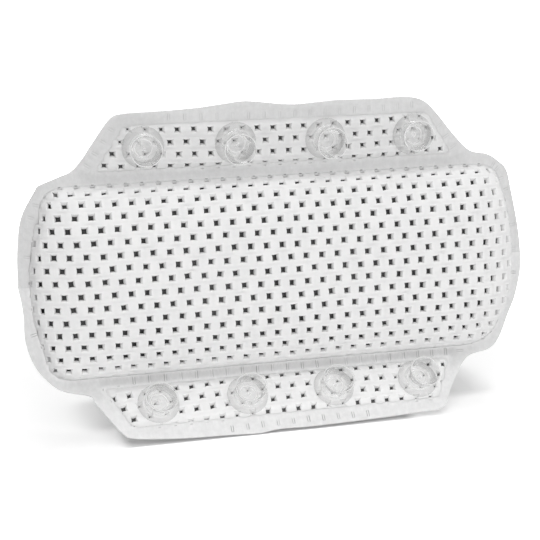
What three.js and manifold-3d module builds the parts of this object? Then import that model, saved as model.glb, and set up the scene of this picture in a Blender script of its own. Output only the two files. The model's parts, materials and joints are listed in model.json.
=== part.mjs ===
// Bath pillow: two perforated foam sheets welded together round a foam core, with a flap of
// suction cups above and below the cushion. Each flap folds on the weld strip at its root.
//
// Millimetres, +Z up, +X to the right. The cups and the photographed crown face -Y.
// The origin is the middle of the cushion's seam. The pillow leans back on its lower flap.

import * as THREE from 'three';
import { mergeVertices } from 'three/addons/utils/BufferGeometryUtils.js';
import Module from 'manifold-3d';

const wasm = await Module();
wasm.setup();

// Cushion
const CROWN_W = 344; // across the padded crown at mid height
const CROWN_H = 129; // between the two weld strips
const CROWN_CORNER = 17; // corner radius of the crown
const SIDE_BOW = 8; // how far each short side bows out between its corners
const FRONT_RISE = 21; // crown above its weld, on the cups' side
const BACK_RISE = 18; // crown above its weld, on the other side
const SHOULDER = 45; // from the crown's edge to its flat middle
const SHEET_T = 3.2; // perforated foam sheet

// Weld
const WELD_T = 1; // one sheet where it is melted flat
const WELD_W = 8; // border round the cushion
const STRIP_W = 8.6; // weld strip between the crown and a flap's mesh

// Flaps
const FLAP_L = 46; // from the fold to the flap's tip
const TIP_BORDER = 10; // weld along the tip
const SIDE_BORDER = 12; // weld along the slanted sides
const TIP_CORNER = 5; // chamfer on the tip's corners
const LINER_T = 0.8; // foam liner between a flap's two sheets
const LINER_EDGE = 3; // how far the liner's pocket lies inside the mesh
const UPPER_FLAP = { name: 'upper', step: 5, taper: 30, side: 1 };
const LOWER_FLAP = { name: 'lower', step: 10, taper: 23, side: -1 };

// Mesh of the flaps
const HOLE = 4; // across a hole
const HOLE_PITCH = 11; // between the holes of a row
const HOLE_ROW = 8.7; // between rows, which are staggered by half a pitch
const HOLE_MARGIN = 0.7; // mesh left round the outermost holes

// Mesh of the crown, with the flaps' holes and rows
const PIT_EVERY = 3; // one in this many of a row's holes is drawn, as a pit that stops inside the sheet
const PIT_DEPTH = 2.4;
const PIT_EDGE = 12; // pits stay this far inside the crown's edge
const FRONT_PITS = { across: 6.7, up: 2.75 }; // a pit near the crown's middle
const BACK_PITS = { across: 0.9, up: -1.2 };

// Suction cups
const CUP_COUNT = 4; // on each flap
const CUP_H = 11.5; // from the flange's underside to the rim
const FLANGE_R = 14.2;
const FLANGE_T = 1.1;
const FOOT_R = 9; // outside of the cup at the flange
const RIM_R = 11; // outside of the cup at its rim
const RIM_WALL = 1; // flat of the rim
const CUP_FLOOR = 2.6; // flange's underside to the inside of the cup
const FLOOR_R = 5.8; // flat inside the cup
const NUB_R = 1.5;
const NUB_H = 0.7;
const CUP_MARGIN = 7.5; // from the mesh's slanted side to the outer cup's flange
const CUP_SHIFT = 0.9; // cups lie this much nearer the tip than the middle of the mesh
const CUP_SIDES = 24;

// Fits and pose
const GAP = 0.3; // between pieces that touch
const LEAN = THREE.MathUtils.degToRad(5.5); // cushion, backwards
const UPPER_BEND = THREE.MathUtils.degToRad(9); // upper flap towards the front, from the seam's plane
const LOWER_BEND = THREE.MathUtils.degToRad(39); // lower flap towards the front

// Worked out from the sizes above
const SEAM = GAP / 2; // each sheet's inner face from the seam's plane
const WELD_FACE = SEAM + WELD_T; // outer face of a weld from the seam's plane
const FOLD = CROWN_H / 2 + STRIP_W / 2; // fold line from the cushion's middle
const FOLD_EDGE = FOLD - WELD_FACE - GAP; // cushion's edge, clear of the flap's rounded root
const STRAIGHT = CROWN_W / 2 - SIDE_BOW - CROWN_CORNER; // half of the crown's straight long edge
const MESH_START = STRIP_W / 2; // mesh of a flap, from its fold
const MESH_END = FLAP_L - TIP_BORDER;
const MESH_FLOOR = LINER_T / 2 + GAP; // inner face of a flap's mesh from the seam's plane
const MESH_FACE = MESH_FLOOR + SHEET_T; // outer face of a flap's mesh
const CUP_AT = (MESH_START + MESH_END) / 2 + CUP_SHIFT; // cup's axis from the fold
const SHOULDER_STEPS = [0, 0.06, 0.22, 0.52, 1]; // where the shoulder's rings lie across it
const INNER_STEPS = [0, 0.22, 0.52, 1]; // the same inside the sheet
const TOP_SHARES = [0.985, 0.95, 0]; // points along half of a long edge

const white = (name) =>
  new THREE.MeshStandardMaterial({ name, color: 0xf1f1ef, roughness: 0.75, metalness: 0 });
const grey = (name) =>
  new THREE.MeshStandardMaterial({ name, color: 0x4a4c4f, roughness: 0.95, metalness: 0 });
const clear = (name) =>
  new THREE.MeshStandardMaterial({
    name, color: 0xe9eceb, roughness: 0.12, metalness: 0, transparent: true, opacity: 0.4,
  });

// Flap's half width at a distance from its fold
const rootHalf = (flap) => STRAIGHT - flap.step;
const halfAt = (flap, reach) => rootHalf(flap) - (flap.taper * reach) / FLAP_L;

// One quarter of a ring, from the middle of a short side to the middle of a long one
function quarter(halfW, halfH, corner, bow) {
  const straightSide = halfH - corner;
  const straightTop = halfW - bow - corner;
  const points = [];
  for (const share of [0, 0.45, 0.8]) {
    points.push([halfW - bow * share * share, straightSide * share]);
  }
  for (const turn of [0, 0.33, 0.67, 1]) {
    const angle = (turn * Math.PI) / 2;
    points.push([straightTop + corner * Math.cos(angle), straightSide + corner * Math.sin(angle)]);
  }
  for (const share of TOP_SHARES) {
    points.push([straightTop * share, halfH]);
  }
  return points;
}

// A whole ring from its quarters, anticlockwise as seen from the front, with no point twice
function ring(upper, lower, depth) {
  const place = ([x, h]) => new THREE.Vector3(x, -depth, h);
  const right = upper.map(([x, h]) => [x, h]);
  const left = upper.map(([x, h]) => [-x, h]).reverse().slice(1);
  const lowLeft = lower.map(([x, h]) => [-x, -h]).slice(1);
  const lowRight = lower.map(([x, h]) => [x, -h]).reverse().slice(1, -1);
  return [...right, ...left, ...lowLeft, ...lowRight].map(place);
}

// The crown's outline drawn in by an inset, at a depth in front of the seam's plane
function crownRing(inset, depth) {
  const corner = Math.max(CROWN_CORNER - 0.6 * inset, CROWN_CORNER / 3);
  const part = quarter(CROWN_W / 2 - inset, CROWN_H / 2 - inset, corner, SIDE_BOW);
  return ring(part, part, depth);
}

// The weld border's outline: it steps down to the fold where a flap begins
function borderRing(depth) {
  const outline = (flap) => {
    const part = quarter(CROWN_W / 2 + WELD_W, CROWN_H / 2 + WELD_W, CROWN_CORNER + WELD_W, SIDE_BOW);
    const step = part.length - TOP_SHARES.length;
    const stepX = rootHalf(flap) + GAP;
    part[step] = [stepX, CROWN_H / 2 + WELD_W];
    for (let i = step + 1; i < part.length; i += 1) {
      part[i] = [i === step + 1 ? stepX : part[i][0], FOLD_EDGE];
    }
    return part;
  };
  return ring(outline(UPPER_FLAP), outline(LOWER_FLAP), depth);
}

// How far the crown has risen at an inset from its edge
function rise(inset, full) {
  const share = 1 - Math.min(inset / SHOULDER, 1);
  return full * Math.sqrt(1 - share * share);
}

// A closed body through rings that run from its front to its back
function loft(rings) {
  const count = rings[0].length;
  const points = rings.flat();
  const middle = (list) => new THREE.Vector3(0, list[0].y, 0);
  const front = points.push(middle(rings[0])) - 1;
  const back = points.push(middle(rings.at(-1))) - 1;
  const index = [];
  for (let i = 0; i < count; i += 1) {
    const next = (i + 1) % count;
    index.push(front, i, next);
    for (let k = 0; k + 1 < rings.length; k += 1) {
      const inner = k * count;
      const outer = inner + count;
      index.push(inner + i, outer + i, outer + next, inner + i, outer + next, inner + next);
    }
    const last = (rings.length - 1) * count;
    index.push(back, last + next, last + i);
  }
  const geometry = new THREE.BufferGeometry().setFromPoints(points);
  geometry.setIndex(index);
  geometry.computeVertexNormals();
  return geometry;
}

// Rings of one panel from its crown's flat middle out to the weld's cut edge, then back inside
function panelRings(full) {
  const outside = SHOULDER_STEPS.map((step) => {
    const inset = step * SHOULDER;
    return crownRing(inset, WELD_FACE + rise(inset, full));
  });
  const inside = INNER_STEPS.map((step) => {
    const inset = step * SHOULDER;
    return crownRing(SHEET_T + inset, SEAM + rise(inset, full + WELD_T - SHEET_T));
  });
  return [...outside.reverse(), borderRing(WELD_FACE), borderRing(SEAM), ...inside];
}

const mirrorDepth = (rings) => rings.map((list) => list.map((p) => new THREE.Vector3(p.x, -p.y, p.z)));

// How far a point of the crown lies inside its edge
function edgeRoom(x, h) {
  const share = Math.min(Math.abs(h) / (CROWN_H / 2 - CROWN_CORNER), 1);
  return Math.min(CROWN_W / 2 - SIDE_BOW * share * share - Math.abs(x), CROWN_H / 2 - Math.abs(h));
}

// The crown's outer face in front of the seam's plane, straight from ring to ring
function crownFace(inset, full) {
  const part = Math.min(inset / SHOULDER, 1);
  const next = Math.max(SHOULDER_STEPS.findIndex((step) => step >= part), 1);
  const [low, high] = [SHOULDER_STEPS[next - 1], SHOULDER_STEPS[next]];
  const between = (part - low) / (high - low);
  return WELD_FACE + THREE.MathUtils.lerp(rise(low * SHOULDER, full), rise(high * SHOULDER, full), between);
}

// Where the crown's pits lie: staggered rows that stop short of its edge
function pitCentres(first) {
  const pitch = PIT_EVERY * HOLE_PITCH;
  const rows = Math.ceil(CROWN_H / 2 / HOLE_ROW);
  const columns = Math.ceil(CROWN_W / 2 / pitch);
  const centres = [];
  for (let row = -rows; row <= rows; row += 1) {
    const shift = row % 2 === 0 ? 0 : pitch / 2;
    for (let column = -columns; column <= columns; column += 1) {
      const [x, h] = [first.across + shift + column * pitch, first.up + row * HOLE_ROW];
      if (edgeRoom(x, h) >= PIT_EDGE) {
        centres.push([x, h]);
      }
    }
  }
  return centres;
}

// One panel as it faces the front, with a four-sided pit at each drawn hole
function panel(full, first) {
  const tall = 2 * PIT_DEPTH;
  const pit = new THREE.ConeGeometry(HOLE * Math.SQRT2, tall, 4, 1, false, Math.PI / 4);
  const pits = pitCentres(first).map(([x, h]) =>
    toSolid(pit.clone().translate(x, -crownFace(edgeRoom(x, h), full), h)),
  );
  return toSolid(loft(panelRings(full))).subtract(wasm.Manifold.union(pits));
}

function frontPanel() {
  return toGeometry(panel(FRONT_RISE, FRONT_PITS));
}

function backPanel() {
  return toGeometry(panel(BACK_RISE, BACK_PITS).mirror([0, 1, 0]));
}

// Foam that fills the space between the panels, clear of both by the gap
function foamCore() {
  const half = (full) =>
    INNER_STEPS.slice(1).map((step) => {
      const inset = step * SHOULDER;
      return crownRing(SHEET_T + GAP + inset, SEAM + rise(inset, full + WELD_T - SHEET_T) - GAP);
    });
  return loft([...half(FRONT_RISE).reverse(), ...mirrorDepth(half(BACK_RISE))]);
}

// Bodies joined and cut
function toSolid(geometry) {
  const bare = geometry.clone();
  bare.deleteAttribute('normal');
  bare.deleteAttribute('uv');
  const merged = mergeVertices(bare, 1e-5);
  const mesh = new wasm.Mesh({
    numProp: 3,
    vertProperties: new Float32Array(merged.attributes.position.array),
    triVerts: new Uint32Array(merged.index.array),
  });
  return new wasm.Manifold(mesh);
}

function toGeometry(solid) {
  const mesh = solid.getMesh();
  const geometry = new THREE.BufferGeometry();
  geometry.setAttribute('position', new THREE.BufferAttribute(new Float32Array(mesh.vertProperties), 3));
  geometry.setIndex(new THREE.BufferAttribute(new Uint32Array(mesh.triVerts), 1));
  geometry.computeVertexNormals();
  return geometry;
}

// A flat slab from an outline of [x, reach] points, between two depths in front of the seam's plane
function slab(outline, near, far) {
  const shape = new THREE.Shape(outline.map(([x, reach]) => new THREE.Vector2(x, reach)));
  const geometry = new THREE.ExtrudeGeometry(shape, { depth: far - near, bevelEnabled: false });
  geometry.rotateX(Math.PI / 2);
  geometry.translate(0, -near, 0);
  return geometry;
}

// A flap's outline drawn in at its sides, between two distances from the fold
function flapOutline(flap, start, end, inset, chamfer) {
  const low = halfAt(flap, start) - inset;
  const high = halfAt(flap, end) - inset;
  const cut = halfAt(flap, end - chamfer) - inset;
  const right = [[low, start], [cut, end - chamfer], [high - chamfer, end]];
  const left = right.map(([x, reach]) => [-x, reach]).reverse();
  return [...right, ...left];
}

// The rounded root of a flap's sheet: a quarter round about the fold line
function foldRoot(flap) {
  const angle = Math.asin(SEAM / WELD_FACE);
  const shape = new THREE.Shape();
  shape.moveTo(WELD_T, SEAM);
  shape.lineTo(WELD_T, WELD_FACE);
  shape.lineTo(0, WELD_FACE);
  shape.absarc(0, 0, WELD_FACE, Math.PI / 2, Math.PI - angle, false);
  const length = 2 * halfAt(flap, WELD_T);
  const geometry = new THREE.ExtrudeGeometry(shape, { depth: length, bevelEnabled: false, curveSegments: 4 });
  geometry.translate(0, 0, -length / 2);
  const toFlap = new THREE.Matrix4().makeBasis(
    new THREE.Vector3(0, 0, 1),
    new THREE.Vector3(0, -1, 0),
    new THREE.Vector3(1, 0, 0),
  );
  return geometry.applyMatrix4(toFlap);
}

// Where the holes of a flap's mesh lie: staggered rows that stop short of the mesh's edge
function holeCentres(flap) {
  const clear = HOLE / 2 + HOLE_MARGIN;
  const depth = MESH_END - MESH_START - 2 * clear;
  const rows = Math.floor(depth / HOLE_ROW + 1e-6) + 1;
  const first = MESH_START + clear + (depth - (rows - 1) * HOLE_ROW) / 2;
  const centres = [];
  for (let row = 0; row < rows; row += 1) {
    const reach = first + row * HOLE_ROW;
    const limit = halfAt(flap, reach + HOLE / 2) - SIDE_BORDER - clear;
    const shift = row % 2 === 0 ? 0 : HOLE_PITCH / 2;
    for (let x = shift; x <= limit; x += HOLE_PITCH) {
      centres.push([x, reach]);
      if (x > 0) {
        centres.push([-x, reach]);
      }
    }
  }
  return centres;
}

// One sheet of a flap, in front of the seam's plane: weld, thicker mesh, rounded root, liner's pocket
function flapSheet(flap, perforated) {
  const weld = slab(flapOutline(flap, 0, FLAP_L, 0, TIP_CORNER), SEAM, WELD_FACE);
  const mesh = slab(flapOutline(flap, MESH_START, MESH_END, SIDE_BORDER, 0.01), SEAM, MESH_FACE);
  const pocket = slab(pocketOutline(flap, 0), 0, MESH_FLOOR);
  let solid = wasm.Manifold.union([toSolid(weld), toSolid(mesh), toSolid(foldRoot(flap))]);
  solid = solid.subtract(toSolid(pocket));
  if (perforated) {
    const hole = new THREE.BoxGeometry(HOLE, 4 * MESH_FACE, HOLE);
    const holes = holeCentres(flap).map(([x, reach]) => toSolid(hole.clone().translate(x, 0, reach)));
    solid = solid.subtract(wasm.Manifold.union(holes));
  }
  return toGeometry(solid);
}

function pocketOutline(flap, inset) {
  const edge = LINER_EDGE + inset;
  return flapOutline(flap, MESH_START + edge, MESH_END - edge, SIDE_BORDER + edge, 0.01);
}

function flapLiner(flap) {
  return slab(pocketOutline(flap, GAP), -LINER_T / 2, LINER_T / 2);
}

// A clear cup on its weld-on flange, turned about the axis that points out of the flap
function suctionCup() {
  const inner = RIM_R - RIM_WALL;
  const profile = [
    [0, 0],
    [FLANGE_R, 0],
    [FLANGE_R, 0.6 * FLANGE_T],
    [FLANGE_R - 0.4 * FLANGE_T, FLANGE_T],
    [FOOT_R + 0.6, FLANGE_T],
    [FOOT_R, FLANGE_T + 0.6],
    [FOOT_R + 0.3 * (RIM_R - FOOT_R), 0.6 * CUP_H],
    [RIM_R, CUP_H - 0.5],
    [RIM_R, CUP_H],
    [inner, CUP_H],
    [inner - 0.35 * (inner - FLOOR_R), 0.6 * CUP_H],
    [FLOOR_R + 0.5, CUP_FLOOR + 0.5],
    [FLOOR_R, CUP_FLOOR],
    [NUB_R, CUP_FLOOR],
    [NUB_R - 0.3, CUP_FLOOR + NUB_H],
    [0, CUP_FLOOR + NUB_H],
  ];
  const points = profile.map(([r, h]) => new THREE.Vector2(r, h));
  return new THREE.LatheGeometry(points, CUP_SIDES);
}

// Builds a named mesh and adds it to its group
function addPiece(group, name, geometry, material) {
  const mesh = new THREE.Mesh(geometry, material(name));
  mesh.name = name;
  group.add(mesh);
  return mesh;
}

// A flap about its fold line: its own group grows towards +Z, and the lower one is turned over
function addFlap(pillow, flap, bend) {
  const fold = new THREE.Group();
  fold.position.z = flap.side * FOLD;
  fold.rotation.x = flap.side * bend;
  const body = new THREE.Group();
  body.rotation.y = flap.side > 0 ? 0 : Math.PI;
  fold.add(body);
  pillow.add(fold);

  addPiece(body, `${flap.name}_flap_front_sheet`, flapSheet(flap, true), white);
  const back = flapSheet(flap, false).rotateZ(Math.PI);
  addPiece(body, `${flap.name}_flap_back_sheet`, back, white);
  addPiece(body, `${flap.name}_flap_liner`, flapLiner(flap), grey);

  const outermost = halfAt(flap, CUP_AT) - SIDE_BORDER - CUP_MARGIN - FLANGE_R;
  for (let i = 0; i < CUP_COUNT; i += 1) {
    const share = (2 * i) / (CUP_COUNT - 1) - 1;
    const cup = addPiece(body, `${flap.name}_suction_cup_${i + 1}`, suctionCup(), clear);
    cup.position.set(flap.side * share * outermost, -(MESH_FACE + GAP), CUP_AT);
    cup.rotation.x = Math.PI;
  }
}

const pillow = new THREE.Group();
pillow.name = 'bath_pillow';
pillow.rotation.x = -LEAN;
addPiece(pillow, 'front_panel', frontPanel(), white);
addPiece(pillow, 'back_panel', backPanel(), white);
addPiece(pillow, 'foam_core', foamCore(), grey);
addFlap(pillow, UPPER_FLAP, UPPER_BEND);
addFlap(pillow, LOWER_FLAP, LOWER_BEND);

const scene = new THREE.Group();
scene.add(pillow);

export default scene;
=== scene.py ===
"""Bath pillow, dressed: perforated foam sheets round a foam core, with two flaps of suction cups.

Sizes are in millimetres, and become metres where a mesh is made. A point of the pillow is given
across it, up it and out of its front. The welded border and the flaps are drawn as the flat sheet
that they were cut from, and are then folded.
"""

import json
import logging
import math
from collections.abc import Callable
from dataclasses import dataclass, field
from enum import Enum

import bmesh
import bpy
import numpy as np
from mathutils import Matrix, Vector
from mathutils.geometry import delaunay_2d_cdt

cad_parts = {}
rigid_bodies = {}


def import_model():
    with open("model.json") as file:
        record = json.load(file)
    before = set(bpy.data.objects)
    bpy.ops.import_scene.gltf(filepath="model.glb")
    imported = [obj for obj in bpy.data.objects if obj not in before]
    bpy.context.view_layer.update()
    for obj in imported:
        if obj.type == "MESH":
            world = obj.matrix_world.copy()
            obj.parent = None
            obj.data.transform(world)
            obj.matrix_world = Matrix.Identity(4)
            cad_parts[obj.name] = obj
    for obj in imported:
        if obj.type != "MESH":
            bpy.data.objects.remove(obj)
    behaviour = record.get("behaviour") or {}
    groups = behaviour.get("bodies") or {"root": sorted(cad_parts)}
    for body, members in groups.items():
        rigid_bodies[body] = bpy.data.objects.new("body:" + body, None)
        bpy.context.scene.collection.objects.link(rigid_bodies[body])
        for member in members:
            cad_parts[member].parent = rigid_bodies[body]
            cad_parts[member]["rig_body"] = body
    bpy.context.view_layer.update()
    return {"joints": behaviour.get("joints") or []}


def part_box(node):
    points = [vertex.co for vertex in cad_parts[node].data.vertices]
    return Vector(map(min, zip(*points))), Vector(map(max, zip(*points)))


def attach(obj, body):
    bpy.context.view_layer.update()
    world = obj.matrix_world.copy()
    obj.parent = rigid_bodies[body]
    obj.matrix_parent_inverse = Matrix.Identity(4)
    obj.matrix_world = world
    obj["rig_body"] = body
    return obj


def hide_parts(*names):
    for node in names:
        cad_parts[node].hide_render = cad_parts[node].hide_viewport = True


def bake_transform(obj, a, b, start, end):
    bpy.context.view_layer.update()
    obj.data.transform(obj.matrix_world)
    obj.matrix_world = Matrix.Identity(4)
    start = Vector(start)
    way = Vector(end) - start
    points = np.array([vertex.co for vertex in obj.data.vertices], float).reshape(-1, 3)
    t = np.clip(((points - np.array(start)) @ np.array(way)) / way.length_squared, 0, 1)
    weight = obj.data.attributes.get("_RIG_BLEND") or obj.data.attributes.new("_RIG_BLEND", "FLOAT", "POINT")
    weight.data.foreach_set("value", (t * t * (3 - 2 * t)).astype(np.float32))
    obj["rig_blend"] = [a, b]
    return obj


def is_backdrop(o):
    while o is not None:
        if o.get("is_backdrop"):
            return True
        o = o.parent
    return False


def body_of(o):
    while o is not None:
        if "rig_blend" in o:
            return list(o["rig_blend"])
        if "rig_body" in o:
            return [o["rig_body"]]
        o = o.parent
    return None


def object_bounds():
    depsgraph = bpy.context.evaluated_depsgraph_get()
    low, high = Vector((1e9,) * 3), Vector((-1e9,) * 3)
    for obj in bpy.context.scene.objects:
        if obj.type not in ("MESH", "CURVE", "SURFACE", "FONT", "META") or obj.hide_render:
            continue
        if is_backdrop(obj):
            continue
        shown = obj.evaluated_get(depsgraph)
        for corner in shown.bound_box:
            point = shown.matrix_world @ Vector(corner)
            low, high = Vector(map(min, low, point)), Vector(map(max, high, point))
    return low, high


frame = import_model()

FLOOR_GAP = 0.6
MM = 0.001
CUSHION_BODY = "cushion"
# The mesh layer that paints light and shade into the finishes, and holds the weld's marks.
SHADE_LAYER = "pressed"
CURVE_STEPS = 24
SMALL_STEP = 0.05
NOISE_RANGE = (0.3, 0.7)
LOG = logging.getLogger("bath_pillow")

Array = np.ndarray
Pair = tuple[float, float]
Triple = tuple[float, float, float]
Colour = tuple[float, float, float, float]


class Slot(Enum):
    """The record's material slots."""

    FOAM_SHEET = "foam_sheet"
    FOAM = "foam"
    CLEAR_CUP = "clear_cup"


class Face(Enum):
    """The two faces of the pillow. The cups are on the front."""

    FRONT = 1
    BACK = -1


class Side(Enum):
    """The two flaps, by which way they lie from the cushion."""

    UPPER = 1
    LOWER = -1

    @property
    def word(self) -> str:
        """The flap's word in the names of its pieces."""
        return self.name.lower()

    @property
    def body(self) -> str:
        """The frame's body that the flap's pieces ride on."""
        return f"{self.word}_flap"


class Join(Enum):
    """How points of a flat pattern are joined by edges."""

    LOOSE = "loose"
    LINE = "line"
    LOOP = "loop"


def smoothstep(low: float, high: float, value: Array) -> Array:
    """Eases values from 0 where they are still low to 1 where they are high."""
    share = np.clip((value - low) / (high - low), 0.0, 1.0)
    return share * share * (3.0 - 2.0 * share)


def from_least(least: float, share: Array) -> Array:
    """Takes shares of 0 to 1 to a range from a least value to 1."""
    return least + (1.0 - least) * share


def smooth_min(first: Array, second: Array, width: float | Array) -> Array:
    """The lesser of two values, rounded off where they differ by less than a width."""
    near = np.maximum(width - np.abs(first - second), 0.0)
    return np.minimum(first, second) - near * near / (4.0 * width)


def drawn_under(inset: Array, tuck: float) -> Array:
    """Draws points outside an edge in under its weld, so that none is further out than the tuck."""
    return np.where(inset < 0.0, tuck * (np.exp(np.minimum(inset, 0.0) / tuck) - 1.0), inset)


def steepest(inset: Callable[[Array, Array], Array], across: Array, up: Array) -> tuple[Array, Array]:
    """The direction in which points get further inside an edge fastest.

    Args:
        inset: Gives how far inside the edge points lie.
        across: The points' places across.
        up: The points' places up.

    Returns:
        The direction's two parts, across and up, of length 1 together.
    """
    east = inset(across + SMALL_STEP, up) - inset(across - SMALL_STEP, up)
    north = inset(across, up + SMALL_STEP) - inset(across, up - SMALL_STEP)
    least = 1e-9
    size = np.maximum(np.hypot(east, north), least)
    return east / size, north / size


def run_along(line: Array) -> Array:
    """The distance run along a line, from its start to each of its points."""
    return np.concatenate([[0.0], np.cumsum(np.linalg.norm(np.diff(line, axis=0), axis=1))])


def rim(faces: Array, below: int) -> Array:
    """Closes the outer edge of a sheet whose lower points follow its upper ones in the same order.

    Args:
        faces: The upper face's faces, each by its points in order.
        below: How many upper points there are.

    Returns:
        Faces between the two faces of the sheet, along edges that only one face has.
    """
    start = faces.ravel().astype(np.int64)
    end = np.roll(faces, -1, 1).ravel().astype(np.int64)
    alone = ~np.isin(start * below + end, end * below + start)
    return np.stack([end[alone], start[alone], start[alone] + below, end[alone] + below], -1)


def through(points: list[Pair], step: float) -> Array:
    """A smooth open line through points, at even steps.

    Args:
        points: The points, in order.
        step: The length of a step.

    Returns:
        The line's points.
    """
    hand = np.array(points, float)
    ends = np.vstack([2 * hand[0] - hand[1], hand, 2 * hand[-1] - hand[-2]])
    share = np.linspace(0.0, 1.0, CURVE_STEPS, endpoint=False)[:, None]
    fine = []
    for before, start, end, after in zip(ends, ends[1:], ends[2:], ends[3:]):
        bend = 2 * before - 5 * start + 4 * end - after
        twist = 3 * start - before - 3 * end + after
        fine.append(0.5 * (2 * start + (end - before) * share + bend * share**2 + twist * share**3))
    line = np.vstack([*fine, hand[-1:]])
    length = run_along(line)
    stops = np.linspace(0.0, length[-1], max(int(round(length[-1] / step)), 2) + 1)
    return np.stack([np.interp(stops, length, line[:, axis]) for axis in (0, 1)], -1)


def inside(points: Array, loop: Array) -> Array:
    """Tells which points lie inside a closed loop.

    Args:
        points: The points to test.
        loop: The loop's corners, in order.

    Returns:
        True for each point inside.
    """
    after = np.roll(loop, -1, axis=0)
    least = 1e-12
    rise = after[:, 1] - loop[:, 1]
    rise = np.where(np.abs(rise) < least, least, rise)
    px, py = points[:, 0:1], points[:, 1:2]
    spans = (loop[:, 1] > py) != (after[:, 1] > py)
    crossing = loop[:, 0] + (py - loop[:, 1]) / rise * (after[:, 0] - loop[:, 0])
    return np.count_nonzero(spans & (px < crossing), axis=1) % 2 == 1


@dataclass(frozen=True)
class Ripple:
    """Slow unevenness of a soft sheet, the same on every run."""

    seed: int
    height: float
    length: float
    waves: int = 6
    stretch: Pair = (0.7, 1.6)

    def at(self, across: Array, up: Array) -> Array:
        """The unevenness at points of the sheet.

        Args:
            across: Places across the sheet.
            up: Places up the sheet.

        Returns:
            Heights, mostly within plus and minus the ripple's own.
        """
        draw = np.random.default_rng(self.seed)
        total = np.zeros(np.broadcast(across, up).shape)
        for _ in range(self.waves):
            turn, phase = draw.uniform(0.0, 2.0 * math.pi, 2)
            pace = 2.0 * math.pi / (self.length * draw.uniform(*self.stretch))
            total = total + np.sin(pace * (across * math.cos(turn) + up * math.sin(turn)) + phase)
        return self.height * total / math.sqrt(self.waves)


class Graph:
    """A node tree, written one node at a time."""

    def __init__(self, owner: bpy.types.Material | bpy.types.World) -> None:
        """Empties the owner's node tree, ready to be written.

        Args:
            owner: The material or world that the tree belongs to.
        """
        owner.use_nodes = True
        self.tree = owner.node_tree
        self.tree.nodes.clear()

    def node(self, kind: str, **inputs: object) -> bpy.types.Node:
        """Adds a node.

        Args:
            kind: The node's type, without its ShaderNode prefix.
            inputs: Sockets by name, with underscores for spaces. A socket links, and a value is set.

        Returns:
            The new node.
        """
        made = self.tree.nodes.new(f"ShaderNode{kind}")
        for name, value in inputs.items():
            self.feed(made, name.replace("_", " "), value)
        return made

    def feed(self, node: bpy.types.Node, name: str | int, value: object) -> None:
        """Links a socket to a node's input, or sets the input's value.

        Args:
            node: The node.
            name: The input's name or number.
            value: The socket or the value.
        """
        target = node.inputs[name]
        if isinstance(value, bpy.types.NodeSocket):
            self.tree.links.new(value, target)
        else:
            target.default_value = value

    def math(self, operation: str, first: object, second: object) -> bpy.types.NodeSocket:
        """Adds a two-input math node.

        Args:
            operation: What it works out.
            first: Its first number.
            second: Its second number.

        Returns:
            The result.
        """
        made = self.tree.nodes.new("ShaderNodeMath")
        made.operation = operation
        self.feed(made, 0, first)
        self.feed(made, 1, second)
        return made.outputs[0]

    def mix(
        self, share: object, first: object, second: object, held: bool = True
    ) -> bpy.types.NodeSocket:
        """Adds a colour mix node.

        Args:
            share: How much of the second colour is mixed in.
            first: The first colour.
            second: The second colour.
            held: Whether the share is held between 0 and 1.

        Returns:
            The mixed colour.
        """
        made = self.tree.nodes.new("ShaderNodeMix")
        made.data_type = "RGBA"
        made.clamp_factor = held
        self.feed(made, 0, share)
        self.feed(made, 6, first)
        self.feed(made, 7, second)
        return made.outputs[2]

    def blend(
        self, share: object, first: bpy.types.NodeSocket, second: bpy.types.NodeSocket
    ) -> bpy.types.NodeSocket:
        """Adds a mix of two shaders.

        Args:
            share: How much of the second shader is mixed in.
            first: The first shader.
            second: The second shader.

        Returns:
            The mixed shader.
        """
        made = self.node("MixShader", Fac=share)
        self.feed(made, 1, first)
        self.feed(made, 2, second)
        return made.outputs[0]

    def span(self, value: object, low: float, high: float) -> bpy.types.NodeSocket:
        """Adds a node that spreads a noise's usual range from low to high, and returns its result."""
        return self.ranged(value, (*NOISE_RANGE, low, high), "LINEAR")

    def ranged(self, value: object, ends: tuple[float, ...], interpolation: str) -> bpy.types.NodeSocket:
        """Adds a map range node.

        Args:
            value: What is mapped.
            ends: Where the value starts and ends, and the results that this gives.
            interpolation: The way from one end to the other.

        Returns:
            The result.
        """
        made = self.node("MapRange", Value=value)
        made.interpolation_type = interpolation
        for name, number in zip(("From Min", "From Max", "To Min", "To Max"), ends):
            made.inputs[name].default_value = number
        return made.outputs["Result"]

    def eased(
        self, value: object, low: float, high: float, first: float, last: float
    ) -> bpy.types.NodeSocket:
        """Adds a node that goes smoothly from first at low to last at high, and returns its result."""
        return self.ranged(value, (low, high, first, last), "SMOOTHSTEP")

    def noise(
        self, scale: float, detail: float, stretch: Triple = (1.0, 1.0, 1.0)
    ) -> bpy.types.NodeSocket:
        """Adds a noise in the object's own space.

        Args:
            scale: How fine the noise is, in cells to the metre.
            detail: How many finer layers it has.
            stretch: How much finer still it is along each axis.

        Returns:
            The noise's value.
        """
        place = self.tree.nodes.get("Texture Coordinate") or self.node("TexCoord")
        spot = self.node("Mapping", Vector=place.outputs["Object"], Scale=stretch).outputs["Vector"]
        return self.node("TexNoise", Vector=spot, Scale=scale, Detail=detail).outputs["Fac"]

    def shade(self) -> bpy.types.NodeSocket:
        """Adds the mesh's layer of painted light and shade, which also holds the weld's marks.

        Returns:
            The layer's value.
        """
        made = self.node("Attribute")
        made.attribute_name = SHADE_LAYER
        return made.outputs["Fac"]

    def finish(self, shader: bpy.types.NodeSocket, kind: str = "OutputMaterial") -> None:
        """Links the finished shader to the tree's output."""
        self.node(kind, Surface=shader)


def tone(level: float, warmth: float = 0.0) -> Colour:
    """A near grey of a linear level, a little warmer or cooler."""
    return (level * (1.0 + warmth), level, level * (1.0 - warmth), 1.0)


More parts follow.
